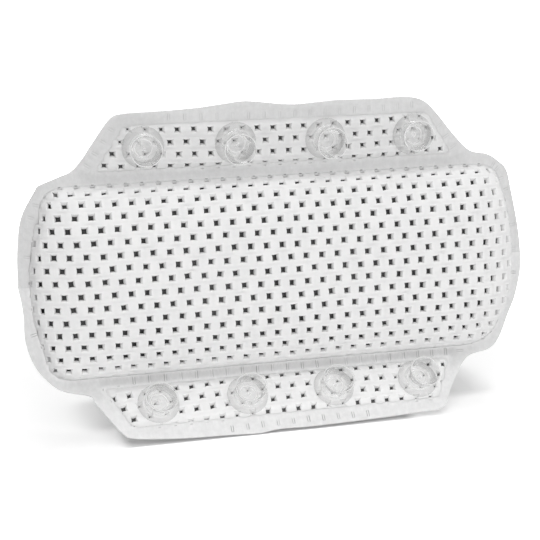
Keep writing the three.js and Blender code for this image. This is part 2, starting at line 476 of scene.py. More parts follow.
@dataclass(frozen=True)
class FoamSheetFinish:
    """Soft white foamed vinyl with a fine pebbled skin."""

    name: str = "foamed_vinyl"
    level: float = 0.87
    shade: float = 0.95
    warmth: float = 0.004
    wall: float = 0.66
    passing: float = 1.0
    passing_reach: float = 0.0015
    bending: float = 1.46
    roughness: float = 0.58
    roughness_spread: float = 0.06
    roughness_patch: float = 450.0
    cloud: float = 90.0
    pucker: float = 130.0
    pucker_stretch: Triple = (0.6, 1.0, 1.5)
    pucker_height: float = 0.002
    pucker_strength: float = 0.6
    pebble: float = 1500.0
    pebble_height: float = 0.00012
    pebble_strength: float = 0.5

    def make(self) -> bpy.types.Material:
        """Builds the material.

        Returns:
            The material, ready to assign.
        """
        material = bpy.data.materials.new(self.name)
        graph = Graph(material)
        plain = graph.mix(
            graph.span(graph.noise(self.cloud, detail=3.0), 0.0, 1.0),
            tone(self.level * self.shade),
            tone(self.level, self.warmth),
        )
        # Painted shade on hole lips, throats and creases and over a flap's sheet; below 0, painted light.
        colour = graph.mix(graph.shade(), plain, tone(self.level * self.wall), held=False)
        puckers = graph.node(
            "Bump",
            Height=graph.noise(self.pucker, detail=2.0, stretch=self.pucker_stretch),
            Distance=self.pucker_height,
            Strength=self.pucker_strength,
        )
        bump = graph.node(
            "Bump",
            Height=graph.noise(self.pebble, detail=2.0),
            Distance=self.pebble_height,
            Strength=self.pebble_strength,
            Normal=puckers.outputs["Normal"],
        )
        rough = graph.span(
            graph.noise(self.roughness_patch, detail=2.0),
            self.roughness - self.roughness_spread,
            self.roughness + self.roughness_spread,
        )
        shader = graph.node(
            "BsdfPrincipled",
            Base_Color=colour,
            Roughness=rough,
            Normal=bump.outputs["Normal"],
            IOR=self.bending,
            Subsurface_Weight=self.passing,
            Subsurface_Radius=(1.0, 1.0, 1.0),
            Subsurface_Scale=self.passing_reach,
        )
        graph.finish(shader.outputs["BSDF"])
        return material


@dataclass(frozen=True)
class WeldFinish:
    """The same vinyl melted flat: greyer, smoother and cloudy, with the marks of its closed holes."""

    name: str
    level: float
    shade: float = 0.88
    mark: float = 0.42
    passing: float = 0.8
    passing_reach: float = 0.001
    bending: float = 1.5
    roughness: float = 0.4
    roughness_spread: float = 0.08
    cloud: float = 300.0
    streak: float = 260.0
    streak_stretch: Triple = (2.2, 0.25, 0.25)
    streak_share: float = 0.5
    streak_shade: float = 0.88
    dimple: float = 420.0
    dimple_height: float = 0.0006
    dimple_strength: float = 0.4

    def make(self) -> bpy.types.Material:
        """Builds the material, which darkens where the mesh's layer has marks and painted shade.

        Returns:
            The material, ready to assign.
        """
        material = bpy.data.materials.new(self.name)
        graph = Graph(material)
        cloudy = graph.mix(
            graph.span(graph.noise(self.cloud, detail=4.0), 0.0, 1.0),
            tone(self.level * self.shade),
            tone(self.level),
        )
        drawn = graph.noise(self.streak, detail=2.0, stretch=self.streak_stretch)
        streaks = graph.span(drawn, 0.0, self.streak_share)
        plain = graph.mix(streaks, cloudy, tone(self.level * self.streak_shade))
        # Darker towards the marks of closed holes and the painted shade of the strip and the border.
        colour = graph.mix(graph.shade(), plain, tone(self.level * self.mark), held=False)
        bump = graph.node(
            "Bump",
            Height=graph.noise(self.dimple, detail=3.0),
            Distance=self.dimple_height,
            Strength=self.dimple_strength,
        )
        rough = graph.span(
            graph.noise(self.cloud, detail=2.0),
            self.roughness - self.roughness_spread,
            self.roughness + self.roughness_spread,
        )
        shader = graph.node(
            "BsdfPrincipled",
            Base_Color=colour,
            Roughness=rough,
            Normal=bump.outputs["Normal"],
            IOR=self.bending,
            Subsurface_Weight=self.passing,
            Subsurface_Radius=(1.0, 1.0, 1.0),
            Subsurface_Scale=self.passing_reach,
        )
        graph.finish(shader.outputs["BSDF"])
        return material


@dataclass(frozen=True)
class CoreFoamFinish:
    """Dark open-cell foam, seen through the holes: its darkness stands in for their shade."""

    name: str = "dark_foam"
    level: float = 0.075
    light: float = 1.7
    roughness: Pair = (0.88, 1.0)
    cells: float = 900.0
    cell_height: float = 0.0006
    cell_strength: float = 0.7

    def make(self) -> bpy.types.Material:
        """Builds the material.

        Returns:
            The material, ready to assign.
        """
        material = bpy.data.materials.new(self.name)
        graph = Graph(material)
        place = graph.node("TexCoord").outputs["Object"]
        cell = graph.node("TexVoronoi", Vector=place, Scale=self.cells).outputs["Distance"]
        colour = graph.mix(cell, tone(self.level), tone(self.level * self.light))
        bump = graph.node("Bump", Height=cell, Distance=self.cell_height, Strength=self.cell_strength)
        rough = graph.span(graph.noise(self.cells, detail=2.0), *self.roughness)
        shader = graph.node(
            "BsdfPrincipled",
            Base_Color=colour,
            Roughness=rough,
            Normal=bump.outputs["Normal"],
        )
        graph.finish(shader.outputs["BSDF"])
        return material


@dataclass(frozen=True)
class ClearCupFinish:
    """Clear soft vinyl: a glossy skin, denser where it is seen edge on, with faint moulding haze.

    Above 0 the mesh's layer paints a white highlight where the lip, the bell's foot, the base
    ring and the boss catch the light; below 0 it paints grey shade: the dark lines that refraction
    draws on the flange's edge, the walls and the rim, and a greyer flange.
    """

    name: str = "clear_vinyl"
    face_on: float = 0.975
    edge_on: float = 0.3
    density: float = 4.5
    dull: float = 0.85
    milk: float = 0.8
    milk_level: float = 0.95
    milk_through: float = 0.5
    gloss_from: float = 0.1
    gloss_edge: float = 0.75
    shadow: float = 0.975
    roughness: float = 0.09
    roughness_spread: float = 0.2
    haze: float = 90.0
    haze_depth: float = 0.012
    swirl: float = 60.0
    swirl_height: float = 0.00002
    swirl_strength: float = 0.35

    def make(self) -> bpy.types.Material:
        """Builds the material.

        Returns:
            The material, ready to assign.
        """
        material = bpy.data.materials.new(self.name)
        graph = Graph(material)
        haze = graph.noise(self.haze, detail=3.0)
        facing = graph.node("LayerWeight", Blend=0.5).outputs["Facing"]
        cloud = graph.shade()
        hazy = graph.mix(
            graph.span(haze, 0.0, 1.0), tone(self.face_on - self.haze_depth), tone(self.face_on)
        )
        # Below 0 the layer paints the clear vinyl grey: painted shade.
        painted_shade_share = graph.span(graph.math("MULTIPLY", cloud, -1.0), 0.0, 1.0)
        painted_shade_tint = graph.mix(painted_shade_share, hazy, tone(self.dull))
        passed = graph.mix(graph.math("POWER", facing, self.density), painted_shade_tint, tone(self.edge_on))
        clear = graph.node("BsdfTransparent", Color=passed).outputs[0]
        near = graph.node("BsdfDiffuse", Color=tone(self.milk_level)).outputs[0]
        far = graph.node("BsdfTranslucent", Color=tone(self.milk_level)).outputs[0]
        painted_highlight_shader = graph.blend(self.milk_through, near, far)
        # Above 0 the layer paints in white: a painted highlight.
        painted_highlight_share = graph.math("MULTIPLY", graph.math("MAXIMUM", cloud, 0.0), self.milk)
        body = graph.blend(painted_highlight_share, clear, painted_highlight_shader)
        bump = graph.node(
            "Bump",
            Height=graph.noise(self.swirl, detail=2.0),
            Distance=self.swirl_height,
            Strength=self.swirl_strength,
        )
        gloss = graph.node(
            "BsdfGlossy",
            Color=tone(1.0),
            Roughness=graph.span(
                haze,
                self.roughness * (1.0 - self.roughness_spread),
                self.roughness * (1.0 + self.roughness_spread),
            ),
            Normal=bump.outputs["Normal"],
        ).outputs[0]
        front = graph.math("SUBTRACT", 1.0, graph.node("NewGeometry").outputs["Backfacing"])
        mirrored = graph.eased(facing, self.gloss_from, 1.0, 0.0, self.gloss_edge)
        skin = graph.blend(graph.math("MULTIPLY", mirrored, front), body, gloss)
        lit = graph.node("BsdfTransparent", Color=tone(self.shadow)).outputs[0]
        graph.finish(graph.blend(graph.node("LightPath").outputs["Is Shadow Ray"], skin, lit))
        return material


@dataclass(frozen=True)
class ShadedPatch:
    """A painted shadow: a floor patch without the white lift, and how widely it fades, in metres."""

    middle: Pair
    half: Pair
    fade: Pair


@dataclass(frozen=True)
class FloorFinish:
    """A pale studio floor, lifted to white but in two painted shadow patches by the lower flap's tip."""

    name: str = "pale_floor"
    level: float = 0.92
    seen_level: float = 0.95
    lift: float = 0.29
    white_from: float = 0.16
    white_by: float = 0.42
    under_tip: ShadedPatch = ShadedPatch((-0.016, 0.0003), (0.096, 0.0397), (0.010, 0.0025))
    behind_tip: ShadedPatch = ShadedPatch((0.014, 0.029), (0.129, 0.021), (0.034, 0.02))
    front_edge: float = -0.0385
    front_fade: float = 0.0025
    front_lift: float = 0.62

    def make(self) -> bpy.types.Material:
        """Builds the material, which is lifted to white only where it is looked at.

        Returns:
            The material, ready to assign.
        """
        material = bpy.data.materials.new(self.name)
        graph = Graph(material)
        bounce = graph.node("BsdfDiffuse", Color=tone(self.level))
        seen = graph.node("BsdfDiffuse", Color=tone(self.seen_level))
        place = graph.node("TexCoord").outputs["Object"]
        away = graph.node("VectorMath")
        away.operation = "LENGTH"
        graph.feed(away, 0, place)
        axes = graph.node("SeparateXYZ", Vector=place).outputs
        # The painted shadow: inside its patches the white lift is held back, so the floor's shading shows.
        beside = [self.beside(graph, axes, patch) for patch in (self.under_tip, self.behind_tip)]
        near = graph.eased(graph.math("MINIMUM", *beside), 0.0, 1.0, 0.0, self.lift)
        # In front of the tip the lift comes in sharply, which paints a crisp dark contact line along it.
        front_start = self.front_edge - self.front_fade
        front = graph.eased(axes["Y"], front_start, self.front_edge, self.front_lift, 0.0)
        far = graph.eased(away.outputs["Value"], self.white_from, self.white_by, 0.0, 1.0)
        strength = graph.math("MAXIMUM", graph.math("MAXIMUM", near, front), far)
        lift = graph.node("Emission", Color=tone(1.0), Strength=strength)
        lifted = graph.node("AddShader")
        graph.feed(lifted, 0, seen.outputs[0])
        graph.feed(lifted, 1, lift.outputs[0])
        graph.finish(graph.blend(looked_at(graph), bounce.outputs[0], lifted.outputs[0]))
        return material

    @staticmethod
    def beside(
        graph: Graph, axes: bpy.types.bpy_prop_collection, patch: ShadedPatch
    ) -> bpy.types.NodeSocket:
        """Tells how far the floor's points lie beside a painted shadow patch.

        Args:
            graph: The material's nodes.
            axes: The points' places along each axis.
            patch: The patch.

        Returns:
            Distances from the patch, where 1 is the width of its fade.
        """
        squares = []
        for axis, middle, half, fade in zip(axes, patch.middle, patch.half, patch.fade):
            away = graph.math("ABSOLUTE", graph.math("SUBTRACT", axis, middle), 0.0)
            past = graph.math("MAXIMUM", graph.math("SUBTRACT", away, half), 0.0)
            share = graph.math("DIVIDE", past, fade)
            squares.append(graph.math("MULTIPLY", share, share))
        return graph.math("SQRT", graph.math("ADD", *squares), 0.0)


def looked_at(graph: Graph) -> bpy.types.NodeSocket:
    """Tells what the camera sees, straight, through the clear cups or in their gloss.

    Args:
        graph: The nodes of the material or world that is seen.

    Returns:
        A socket that is 1 for what is seen so, and 0 for what only lights other things.
    """
    path = graph.node("LightPath").outputs
    bounced = graph.math("MINIMUM", path["Diffuse Depth"], 1.0)
    shown = graph.math("MAXIMUM", path["Is Transmission Ray"], path["Is Glossy Ray"])
    straight = graph.math("MULTIPLY", shown, graph.math("SUBTRACT", 1.0, bounced))
    return graph.math("MAXIMUM", path["Is Camera Ray"], straight)


@dataclass
class PieceMesh:
    """A mesh on its way to becoming a piece of the pillow."""

    points: Array
    faces: list[list[int]]
    pressed: Array | None = None
    sharp: float = math.radians(50.0)

    def piece(self, name: str, material: bpy.types.Material) -> bpy.types.Object:
        """Makes the object, with its normals outward and smooth shading.

        Args:
            name: The piece's name.
            material: Its finish.

        Returns:
            The new object, in the row frame.
        """
        mesh = bpy.data.meshes.new(name)
        mesh.from_pydata((self.points * MM).tolist(), [], self.faces)
        if self.pressed is not None:
            layer = mesh.attributes.new(SHADE_LAYER, "FLOAT", "POINT")
            layer.data.foreach_set("value", self.pressed.astype(np.float32))
        edit = bmesh.new()
        edit.from_mesh(mesh)
        bmesh.ops.recalc_face_normals(edit, faces=edit.faces)
        edit.to_mesh(mesh)
        edit.free()
        mesh.shade_smooth()
        mesh.set_sharp_from_angle(angle=self.sharp)
        mesh.materials.append(material)
        made = bpy.data.objects.new(name, mesh)
        bpy.context.scene.collection.objects.link(made)
        return made


@dataclass(frozen=True)
class Pose:
    """How the pillow stands in the frame: its lean, and where and how far its flaps are folded."""

    lean: float
    fold: float
    upper_bend: float = math.radians(9.0)
    lower_bend: float = math.radians(39.0)
    turn_reach: float = 4.2

    @classmethod
    def from_frame(cls) -> "Pose":
        """Reads the lean and the fold's distance from the upper flap's joint.

        Returns:
            The pose.
        """
        joint = next(j for j in frame["joints"] if j["child"] == Side.UPPER.body)
        _, back, up = joint["pos_m"]
        return cls(lean=math.atan2(back, up), fold=math.hypot(back, up) / MM)

    @property
    def up(self) -> Array:
        """The direction up the cushion."""
        return np.array([0.0, math.sin(self.lean), math.cos(self.lean)])

    @property
    def out(self) -> Array:
        """The direction out of the cushion's front."""
        return np.array([0.0, -math.cos(self.lean), math.sin(self.lean)])

    def bend(self, side: Side) -> float:
        """The angle by which a flap is folded towards the front."""
        return self.upper_bend if side is Side.UPPER else self.lower_bend

    def stand(self, across: Array, up: Array, out: Array) -> Array:
        """Places points of the cushion in the row frame.

        Args:
            across: Places across the cushion.
            up: Places up it.
            out: Heights out of its front.

        Returns:
            The points in the row frame.
        """
        shape = np.broadcast(across, up, out).shape
        placed = np.zeros((*shape, 3))
        placed[..., 0] = across
        placed = placed + np.multiply.outer(np.broadcast_to(up, shape), self.up)
        return placed + np.multiply.outer(np.broadcast_to(out, shape), self.out)

    def folded(self, across: Array, up: Array, out: Array, side: Side) -> Array:
        """Places points of the flat sheet in the row frame, with one flap folded.

        Args:
            across: Places across the sheet.
            up: Places up the flat sheet from the cushion's middle, away from it on either side.
            out: Heights above the sheet's middle plane.
            side: The flap that is folded.

        Returns:
            The points in the row frame.
        """
        bend = self.bend(side)
        reach = np.abs(up)
        past = np.clip((reach - self.fold + self.turn_reach) / (2.0 * self.turn_reach), 0.0, 1.0)
        start = np.minimum(reach, self.fold - self.turn_reach)
        beyond = np.maximum(reach - self.fold - self.turn_reach, 0.0)
        first = (2.0 * past - past**2) * self.turn_reach
        second = past**2 * self.turn_reach
        along = start + first + second * math.cos(bend) + beyond * math.cos(bend)
        lift = second * math.sin(bend) + beyond * math.sin(bend)
        slope = np.arctan2(past * math.sin(bend), 1.0 - past + past * math.cos(bend))
        along = along - out * np.sin(slope)
        lift = lift + out * np.cos(slope)
        return self.stand(across, side.value * along, lift)

    def fold_span(self, side: Side) -> tuple[Vector, Vector]:
        """Finds the stretch that turns when a flap folds.

        Args:
            side: The flap.

        Returns:
            The stretch's two ends in the row frame, in metres.
        """
        ends = np.array([-self.turn_reach, self.turn_reach]) + self.fold
        placed = self.folded(np.zeros(2), ends, np.zeros(2), side) * MM
        return Vector(placed[0]), Vector(placed[1])


@dataclass(frozen=True)
class Crown:
    """The padded crown: a flat middle with rounded shoulders down to the weld."""

    half_w: float = 172.0
    half_h: float = 64.5
    bow: float = 8.0
    bow_end: float = 47.5
    corner: float = 20.0
    lower_right_corner: float = 32.0
    corner_across: Pair = (100.0, 140.0)
    corner_down: Pair = (20.0, 45.0)
    shoulder: float = 45.0
    weld_face: float = 1.15
    front_rise: float = 21.0
    back_rise: float = 18.0
    fillet: Pair = (-0.8, 3.2)
    tuck: float = 2.0
    tuck_slope: float = 0.5
    emerging: Pair = (-0.6, 0.8)
    slope_step: float = 0.1
    arc_steps: int = 1200
    arc_past: float = 60.0
    table_past: Pair = (4.0, 8.0)
    table_steps: tuple[int, int] = (700, 74)
    stop_reach: float = 240.0
    stop_count: int = 481
    outline_turns: int = 1440
    outline_past: float = 20.0
    outline_halvings: int = 40

    def full(self, face: Face) -> float:
        """How far a face's crown rises above its weld."""
        return self.front_rise if face is Face.FRONT else self.back_rise

    def inset(self, across: Array, up: Array) -> Array:
        """How far inside the crown's edge points lie.

        Args:
            across: Places across the cushion.
            up: Places up the cushion.

        Returns:
            Distances from the edge, below 0 outside it.
        """
        bowed = self.bow * (np.minimum(np.abs(up), self.bow_end) / self.bow_end) ** 2
        rounding = self.rounding(across, up)
        return smooth_min(self.half_w - bowed - np.abs(across), self.half_h - np.abs(up), rounding)

    def rounding(self, across: Array, up: Array) -> Array:
        """How widely the crown's corners are rounded: the lower right one more than the others."""
        share = smoothstep(*self.corner_across, across) * smoothstep(*self.corner_down, -up)
        return self.corner + (self.lower_right_corner - self.corner) * share

    def inward(self, across: Array, up: Array) -> tuple[Array, Array]:
        """The direction towards the crown's middle, across and up, at points of it."""
        return steepest(self.inset, across, up)

    def height(self, inset: Array, full: float) -> Array:
        """How far the crown has risen at distances from its edge, out of a small fillet."""
        share = 1.0 - np.clip((inset - self.fillet[0]) / self.shoulder, 0.0, 1.0)
        return full * np.sqrt(1.0 - share * share) * smoothstep(*self.fillet, inset)

    def slope(self, inset: Array, full: float) -> Array:
        """How steeply the crown rises at distances from its edge."""
        small = self.slope_step
        return (self.height(inset + small, full) - self.height(inset - small, full)) / (2.0 * small)

    def surface(self, across: Array, up: Array, depth: Array, face: Face) -> tuple[Array, Array, Array]:
        """Points of a sheet that lies over the crown and is tucked into its weld.

        Args:
            across: Places across the cushion.
            up: Places up the cushion.
            depth: Depths below the sheet's outer face.
            face: The crown's face.

        Returns:
            Places across, up and out of the cushion.
        """
        full = self.full(face)
        inset = self.inset(across, up)
        east, north = self.inward(across, up)
        tucked = drawn_under(inset, self.tuck)
        across = across + east * (tucked - inset)
        up = up + north * (tucked - inset)
        risen = self.weld_face + self.height(tucked, full) + self.tuck_slope * np.minimum(tucked, 0.0)
        emerged = smoothstep(*self.emerging, tucked)
        slope = self.tuck_slope + (self.slope(tucked, full) - self.tuck_slope) * emerged
        size = np.sqrt(1.0 + slope * slope)
        pull = depth * slope / size
        return across + east * pull, up + north * pull, risen - depth / size

    def arc(self, face: Face) -> tuple[Array, Array]:
        """Measures over the crown from its middle to its edge, and past it.

        Args:
            face: The crown's face.

        Returns:
            Heights up the cushion, and their distances over the crown.
        """
        up = np.linspace(0.0, self.half_h, self.arc_steps)
        up = np.concatenate([up, [self.half_h + self.arc_past]])
        risen = self.height(self.half_h - up, self.full(face))
        return up, np.concatenate([[0.0], np.cumsum(np.hypot(np.diff(up), np.diff(risen)))])

    def edge_arc(self, face: Face) -> float:
        """The distance over the crown from its middle to its upper or lower edge."""
        return float(self.arc(face)[1][-2])

    def locate(self, flat: Array, face: Face) -> tuple[Array, Array]:
        """Finds where points of the flat sheet come to lie when it goes over the crown.

        Args:
            flat: Places across and up the sheet, from the crown's middle.
            face: The crown's face.

        Returns:
            Places across and up the cushion.
        """
        up_table, arc_table = self.arc(face)
        up = np.sign(flat[..., 1]) * np.interp(np.abs(flat[..., 1]), arc_table, up_table)
        (past_side, past_top), (places, lines) = self.table_past, self.table_steps
        across_table = np.linspace(0.0, self.half_w + past_side, places)
        across_table = np.concatenate([across_table, [self.half_w + self.arc_past]])
        levels = np.linspace(0.0, self.half_h + past_top, lines)
        stops = np.linspace(0.0, self.stop_reach, self.stop_count)
        rows = []
        for level in levels:
            inset = self.inset(across_table, np.full_like(across_table, level))
            risen = self.height(inset, self.full(face))
            run = np.concatenate([[0.0], np.cumsum(np.hypot(np.diff(across_table), np.diff(risen)))])
            rows.append(np.interp(stops, run, across_table))
        table = np.array(rows)
        short = 1.001  # Just over one step, so that each point has a next line and column.
        line = np.clip(np.abs(up) / (levels[1] - levels[0]), 0.0, len(levels) - short)
        column = np.clip(np.abs(flat[..., 0]) / (stops[1] - stops[0]), 0.0, len(stops) - short)
        low, left = line.astype(int), column.astype(int)
        rise, shift = line - low, column - left
        near = table[low, left] * (1.0 - shift) + table[low, left + 1] * shift
        far = table[low + 1, left] * (1.0 - shift) + table[low + 1, left + 1] * shift
        return np.sign(flat[..., 0]) * (near * (1.0 - rise) + far * rise), up

    def outline(self, inset: float, step: float) -> Array:
        """The crown's edge drawn in by an inset, as a closed loop.

        Args:
            inset: How far inside the edge the loop lies.
            step: The length of a step along it.

        Returns:
            The loop's points.
        """
        turns = np.linspace(0.0, 2.0 * math.pi, self.outline_turns, endpoint=False)
        reach = np.zeros_like(turns)
        far = np.full_like(turns, self.half_w + self.outline_past)
        for _ in range(self.outline_halvings):
            middle = 0.5 * (reach + far)
            deep = self.inset(middle * np.cos(turns), middle * np.sin(turns)) > inset
            reach = np.where(deep, middle, reach)
            far = np.where(deep, far, middle)
        loop = np.stack([reach * np.cos(turns), reach * np.sin(turns)], -1)
        return resampled(loop, step)


def resampled(loop: Array, step: float) -> Array:
    """A closed loop at even steps.

    Args:
        loop: The loop's points.
        step: About how long a step is.

    Returns:
        The new points.
    """
    closed = np.vstack([loop, loop[:1]])
    length = run_along(closed)
    stops = np.linspace(0.0, length[-1], int(round(length[-1] / step)), endpoint=False)
    return np.stack([np.interp(stops, length, closed[:, axis]) for axis in (0, 1)], -1)


@dataclass(frozen=True)
class Flap:
    """One flap of the flat sheet: a window of mesh inside its weld, and where its cups stand."""

    side: Side
    root_half: float
    taper: float
    leans: tuple[Pair, ...]
    slide: Triple
    rows: Pair
    bow: Pair
    settle_unit: float = 100.0
    length: float = 46.0
    strip: float = 8.6
    tip_border: float = 10.0
    side_border: float = 12.0
    corner: float = 4.0
    mesh_face: float = 3.9
    tucked_face: float = 0.75
    ramp: Pair = (-0.3, 5.0)
    thin_share: float = 0.12
    tuck: float = 1.6
    cup_reach: float = 21.05
    cup_floor: float = 4.2
    cup_press: float = 12.5
    cup_spread: float = 19.0
    melted_share: float = 0.27
    hole_share: float = 0.85
    left_spread: float = 0.0
    # Painted shade over a flap's whole sheets; below 0, painted light.
    sheet_shade: float = 0.0

    @property
    def mesh_start(self) -> float:
        """Where the mesh starts, from the fold."""
        return self.strip / 2.0

    @property
    def mesh_end(self) -> float:
        """Where the mesh ends, from the fold."""
        return self.length - self.tip_border

    def settle(self, across: Array, reach: Array) -> tuple[Array, Array]:
        """Moves points of the straight sheet to where the weld has pulled them.

        Args:
            across: Places across the flap.
            reach: Distances from the fold.

        Returns:
            The same places after they have slid sideways, closed up and bowed.
        """
        start, share = self.rows
        middle, height = self.bow
        bowed = height * ((across - middle) / self.settle_unit) ** 2
        slid = np.polyval(self.slide, across / self.settle_unit)
        return across + slid, start + share * reach + bowed

    def half_at(self, reach: Array) -> Array:
        """The flap's half width at distances from the fold."""
        return self.root_half - self.taper * reach / self.length

    def sides_at(self, reach: Array) -> tuple[Array, Array]:
        """Where the mesh ends on the left and on the right, at distances from the fold."""
        half = self.half_at(reach) - self.side_border
        return -half - self.left_spread, half

    def inset(self, across: Array, reach: Array) -> Array:
        """How far inside the mesh's edge points lie.

        Args:
            across: Places across the flap.
            reach: Distances from the fold.

        Returns:
            Distances from the edge, below 0 outside it.
        """
        square = math.cos(math.atan2(self.taper, self.length))
        left, right = self.sides_at(reach)
        side = np.minimum(across - left, right - across) * square
        ends = smooth_min(reach - self.mesh_start, self.mesh_end - reach, self.corner)
        return smooth_min(side, ends, self.corner)

    def inward(self, across: Array, reach: Array) -> tuple[Array, Array]:
        """The direction towards the mesh's middle, across and along the flap."""
        return steepest(self.inset, across, reach)

    def surface(self, across: Array, reach: Array, depth: Array) -> tuple[Array, Array, Array]:
        """Points of the mesh sheet, which is tucked into its weld all round.

        Args:
            across: Places across the flap.
            reach: Distances from the fold.
            depth: Depths below the sheet's outer face.

        Returns:
            Places across, along and out of the flap.
        """
        inset = self.inset(across, reach)
        east, north = self.inward(across, reach)
        tucked = drawn_under(inset, self.tuck)
        across = across + east * (tucked - inset)
        reach = reach + north * (tucked - inset)
        emerged = smoothstep(*self.ramp, tucked)
        top = self.tucked_face + (self.mesh_face - self.tucked_face) * emerged
        return across, reach, top - depth * from_least(self.thin_share, emerged)

    def cups(self) -> list[float]:
        """Where the frame's cups stand across the flap, in order of their names."""
        boxes = [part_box(f"{self.side.word}_suction_cup_{count + 1}") for count in range(len(self.leans))]
        return [0.5 * (low.x + high.x) / MM for low, high in boxes]

    def openness(self, across: Array, reach: Array) -> Array:
        """Tells how open the mesh's holes are: those under a cup's flange are melted nearly shut.

        Args:
            across: The holes' places across the flap.
            reach: Their distances from the fold.

        Returns:
            Shares of the full hole.
        """
        opened = np.ones(np.broadcast(across, reach).shape)
        for cup in self.cups():
            away = np.hypot(across - cup, reach - self.cup_reach)
            free = smoothstep(self.cup_press, self.cup_spread, away)
            opened = np.minimum(opened, from_least(self.melted_share, free))
        return opened * self.hole_share


UPPER_FLAP = Flap(
    side=Side.UPPER,
    root_half=142.0,
    taper=30.0,
    leans=((0.2, -0.1), (0.8, -2.5), (2.1, -1.3), (1.2, 0.8)),
    slide=(-1.7, -2.4, 2.25),
    rows=(1.8, 0.945),
    bow=(-4.0, 2.4),
    hole_share=0.84,
    # Painted shade: the upper flap's sheets are painted darker, for the light that falls on them.
    sheet_shade=0.32,
)
LOWER_FLAP = Flap(
    side=Side.LOWER,
    root_half=137.0,
    taper=23.0,
    leans=((0.8, 0.3), (1.0, -0.8), (1.6, -0.9), (3.5, -0.4)),
    slide=(-0.3, -2.05, -0.65),
    rows=(0.35, 0.983),
    bow=(20.0, 3.0),
    hole_share=0.93,
    left_spread=5.0,
    # Painted light: the lower flap's sheets are painted lighter, as they face up into the light.
    sheet_shade=-0.22,
)


@dataclass(frozen=True)
class Lattice:
    """Staggered rows of holes, as the flat sheet carries them, measured from the cushion's middle.

    The sheet was welded slightly askew, which the skew gives.
    """

    pitch: float = 11.02
    row: float = 8.7
    across: float = 6.5
    up: float = 2.75
    skew: float = -0.029

    def centres(self, rows: Array, columns: Array) -> Array:
        """Hole centres before the skew, for each row and column."""
        stagger = np.where(rows % 2 == 0, 0.0, 0.5)
        return np.stack([self.across + (columns + stagger) * self.pitch, self.up + rows * self.row], -1)

    def askew(self, flat: Array) -> Array:
        """Turns points of the straight lattice askew."""
        return flat + np.stack([self.skew * flat[..., 1], np.zeros_like(flat[..., 1])], -1)

    def every(self, rows: range, columns: range) -> tuple[Array, Array]:
        """Every row paired with every column."""
        row, column = np.meshgrid(np.array(rows), np.array(columns), indexing="ij")
        return row.ravel(), column.ravel()


FRONT_LATTICE = Lattice()
BACK_LATTICE = Lattice(across=0.9, up=-1.2, skew=0.018)


@dataclass(frozen=True)
class Perforation:
    """The relief of one hole's cell: a pad, a lip, and walls that narrow a little to the hole's throat.

    Each step of the relief is how much wider than the throat it is, its depth below the pad, and how
    much painted shade it carries, most on the hole's upper side and none on its lower: a dark line
    painted on the lip, which light from above leaves in shade, and more deep in the throat. The mouth
    lies a little aside of the throat. A hole that the weld has drawn shut keeps its mouth.
    """

    hole: float = 1.68
    mouth: float = 0.77
    mouth_shift: Pair = (0.45, 0.25)
    bulge: float = 0.2
    sheet: float = 3.2
    groove: float = 0.55
    seam: float = 0.16
    # Painted shade in the creases between rows and between holes.
    row_shade: float = 0.2
    seam_shade: float = 0.1
    columns: int = 6
    lines: int = 5
    relief: tuple[Triple, ...] = (
        (1.5, 0.0, 0.0),
        (0.95, 0.03, 0.0),
        (0.77, 0.16, 0.9),
        (0.6, 0.4, 0.0),
        (0.1, 2.2, 0.1),
        (0.0, 2.8, 0.7),
    )

    def loop(self, half_w: float, half_h: float, bulge: float) -> Array:
        """A four-sided loop whose sides bulge inwards.

        Args:
            half_w: Half its width at the corners.
            half_h: Half its height at the corners.
            bulge: How far the middle of each side comes in.

        Returns:
            Its points, anticlockwise.
        """
        across = np.linspace(-1.0, 1.0, self.columns + 1)[:-1]
        upward = np.linspace(-1.0, 1.0, self.lines + 1)[:-1]
        in_across = bulge * (1.0 - across**2)
        in_upward = bulge * (1.0 - upward**2)
        low = np.stack([across * half_w, -half_h + in_across], -1)
        right = np.stack([half_w - in_upward, upward * half_h], -1)
        return np.vstack([low, right, -low, -right])

    def overhang(self) -> Array:
        """Each outline point's share of the painted lip shade: none below the hole, all above it."""
        return 0.5 + 0.5 * self.loop(1.0, 1.0, 0.0)[:, 1]


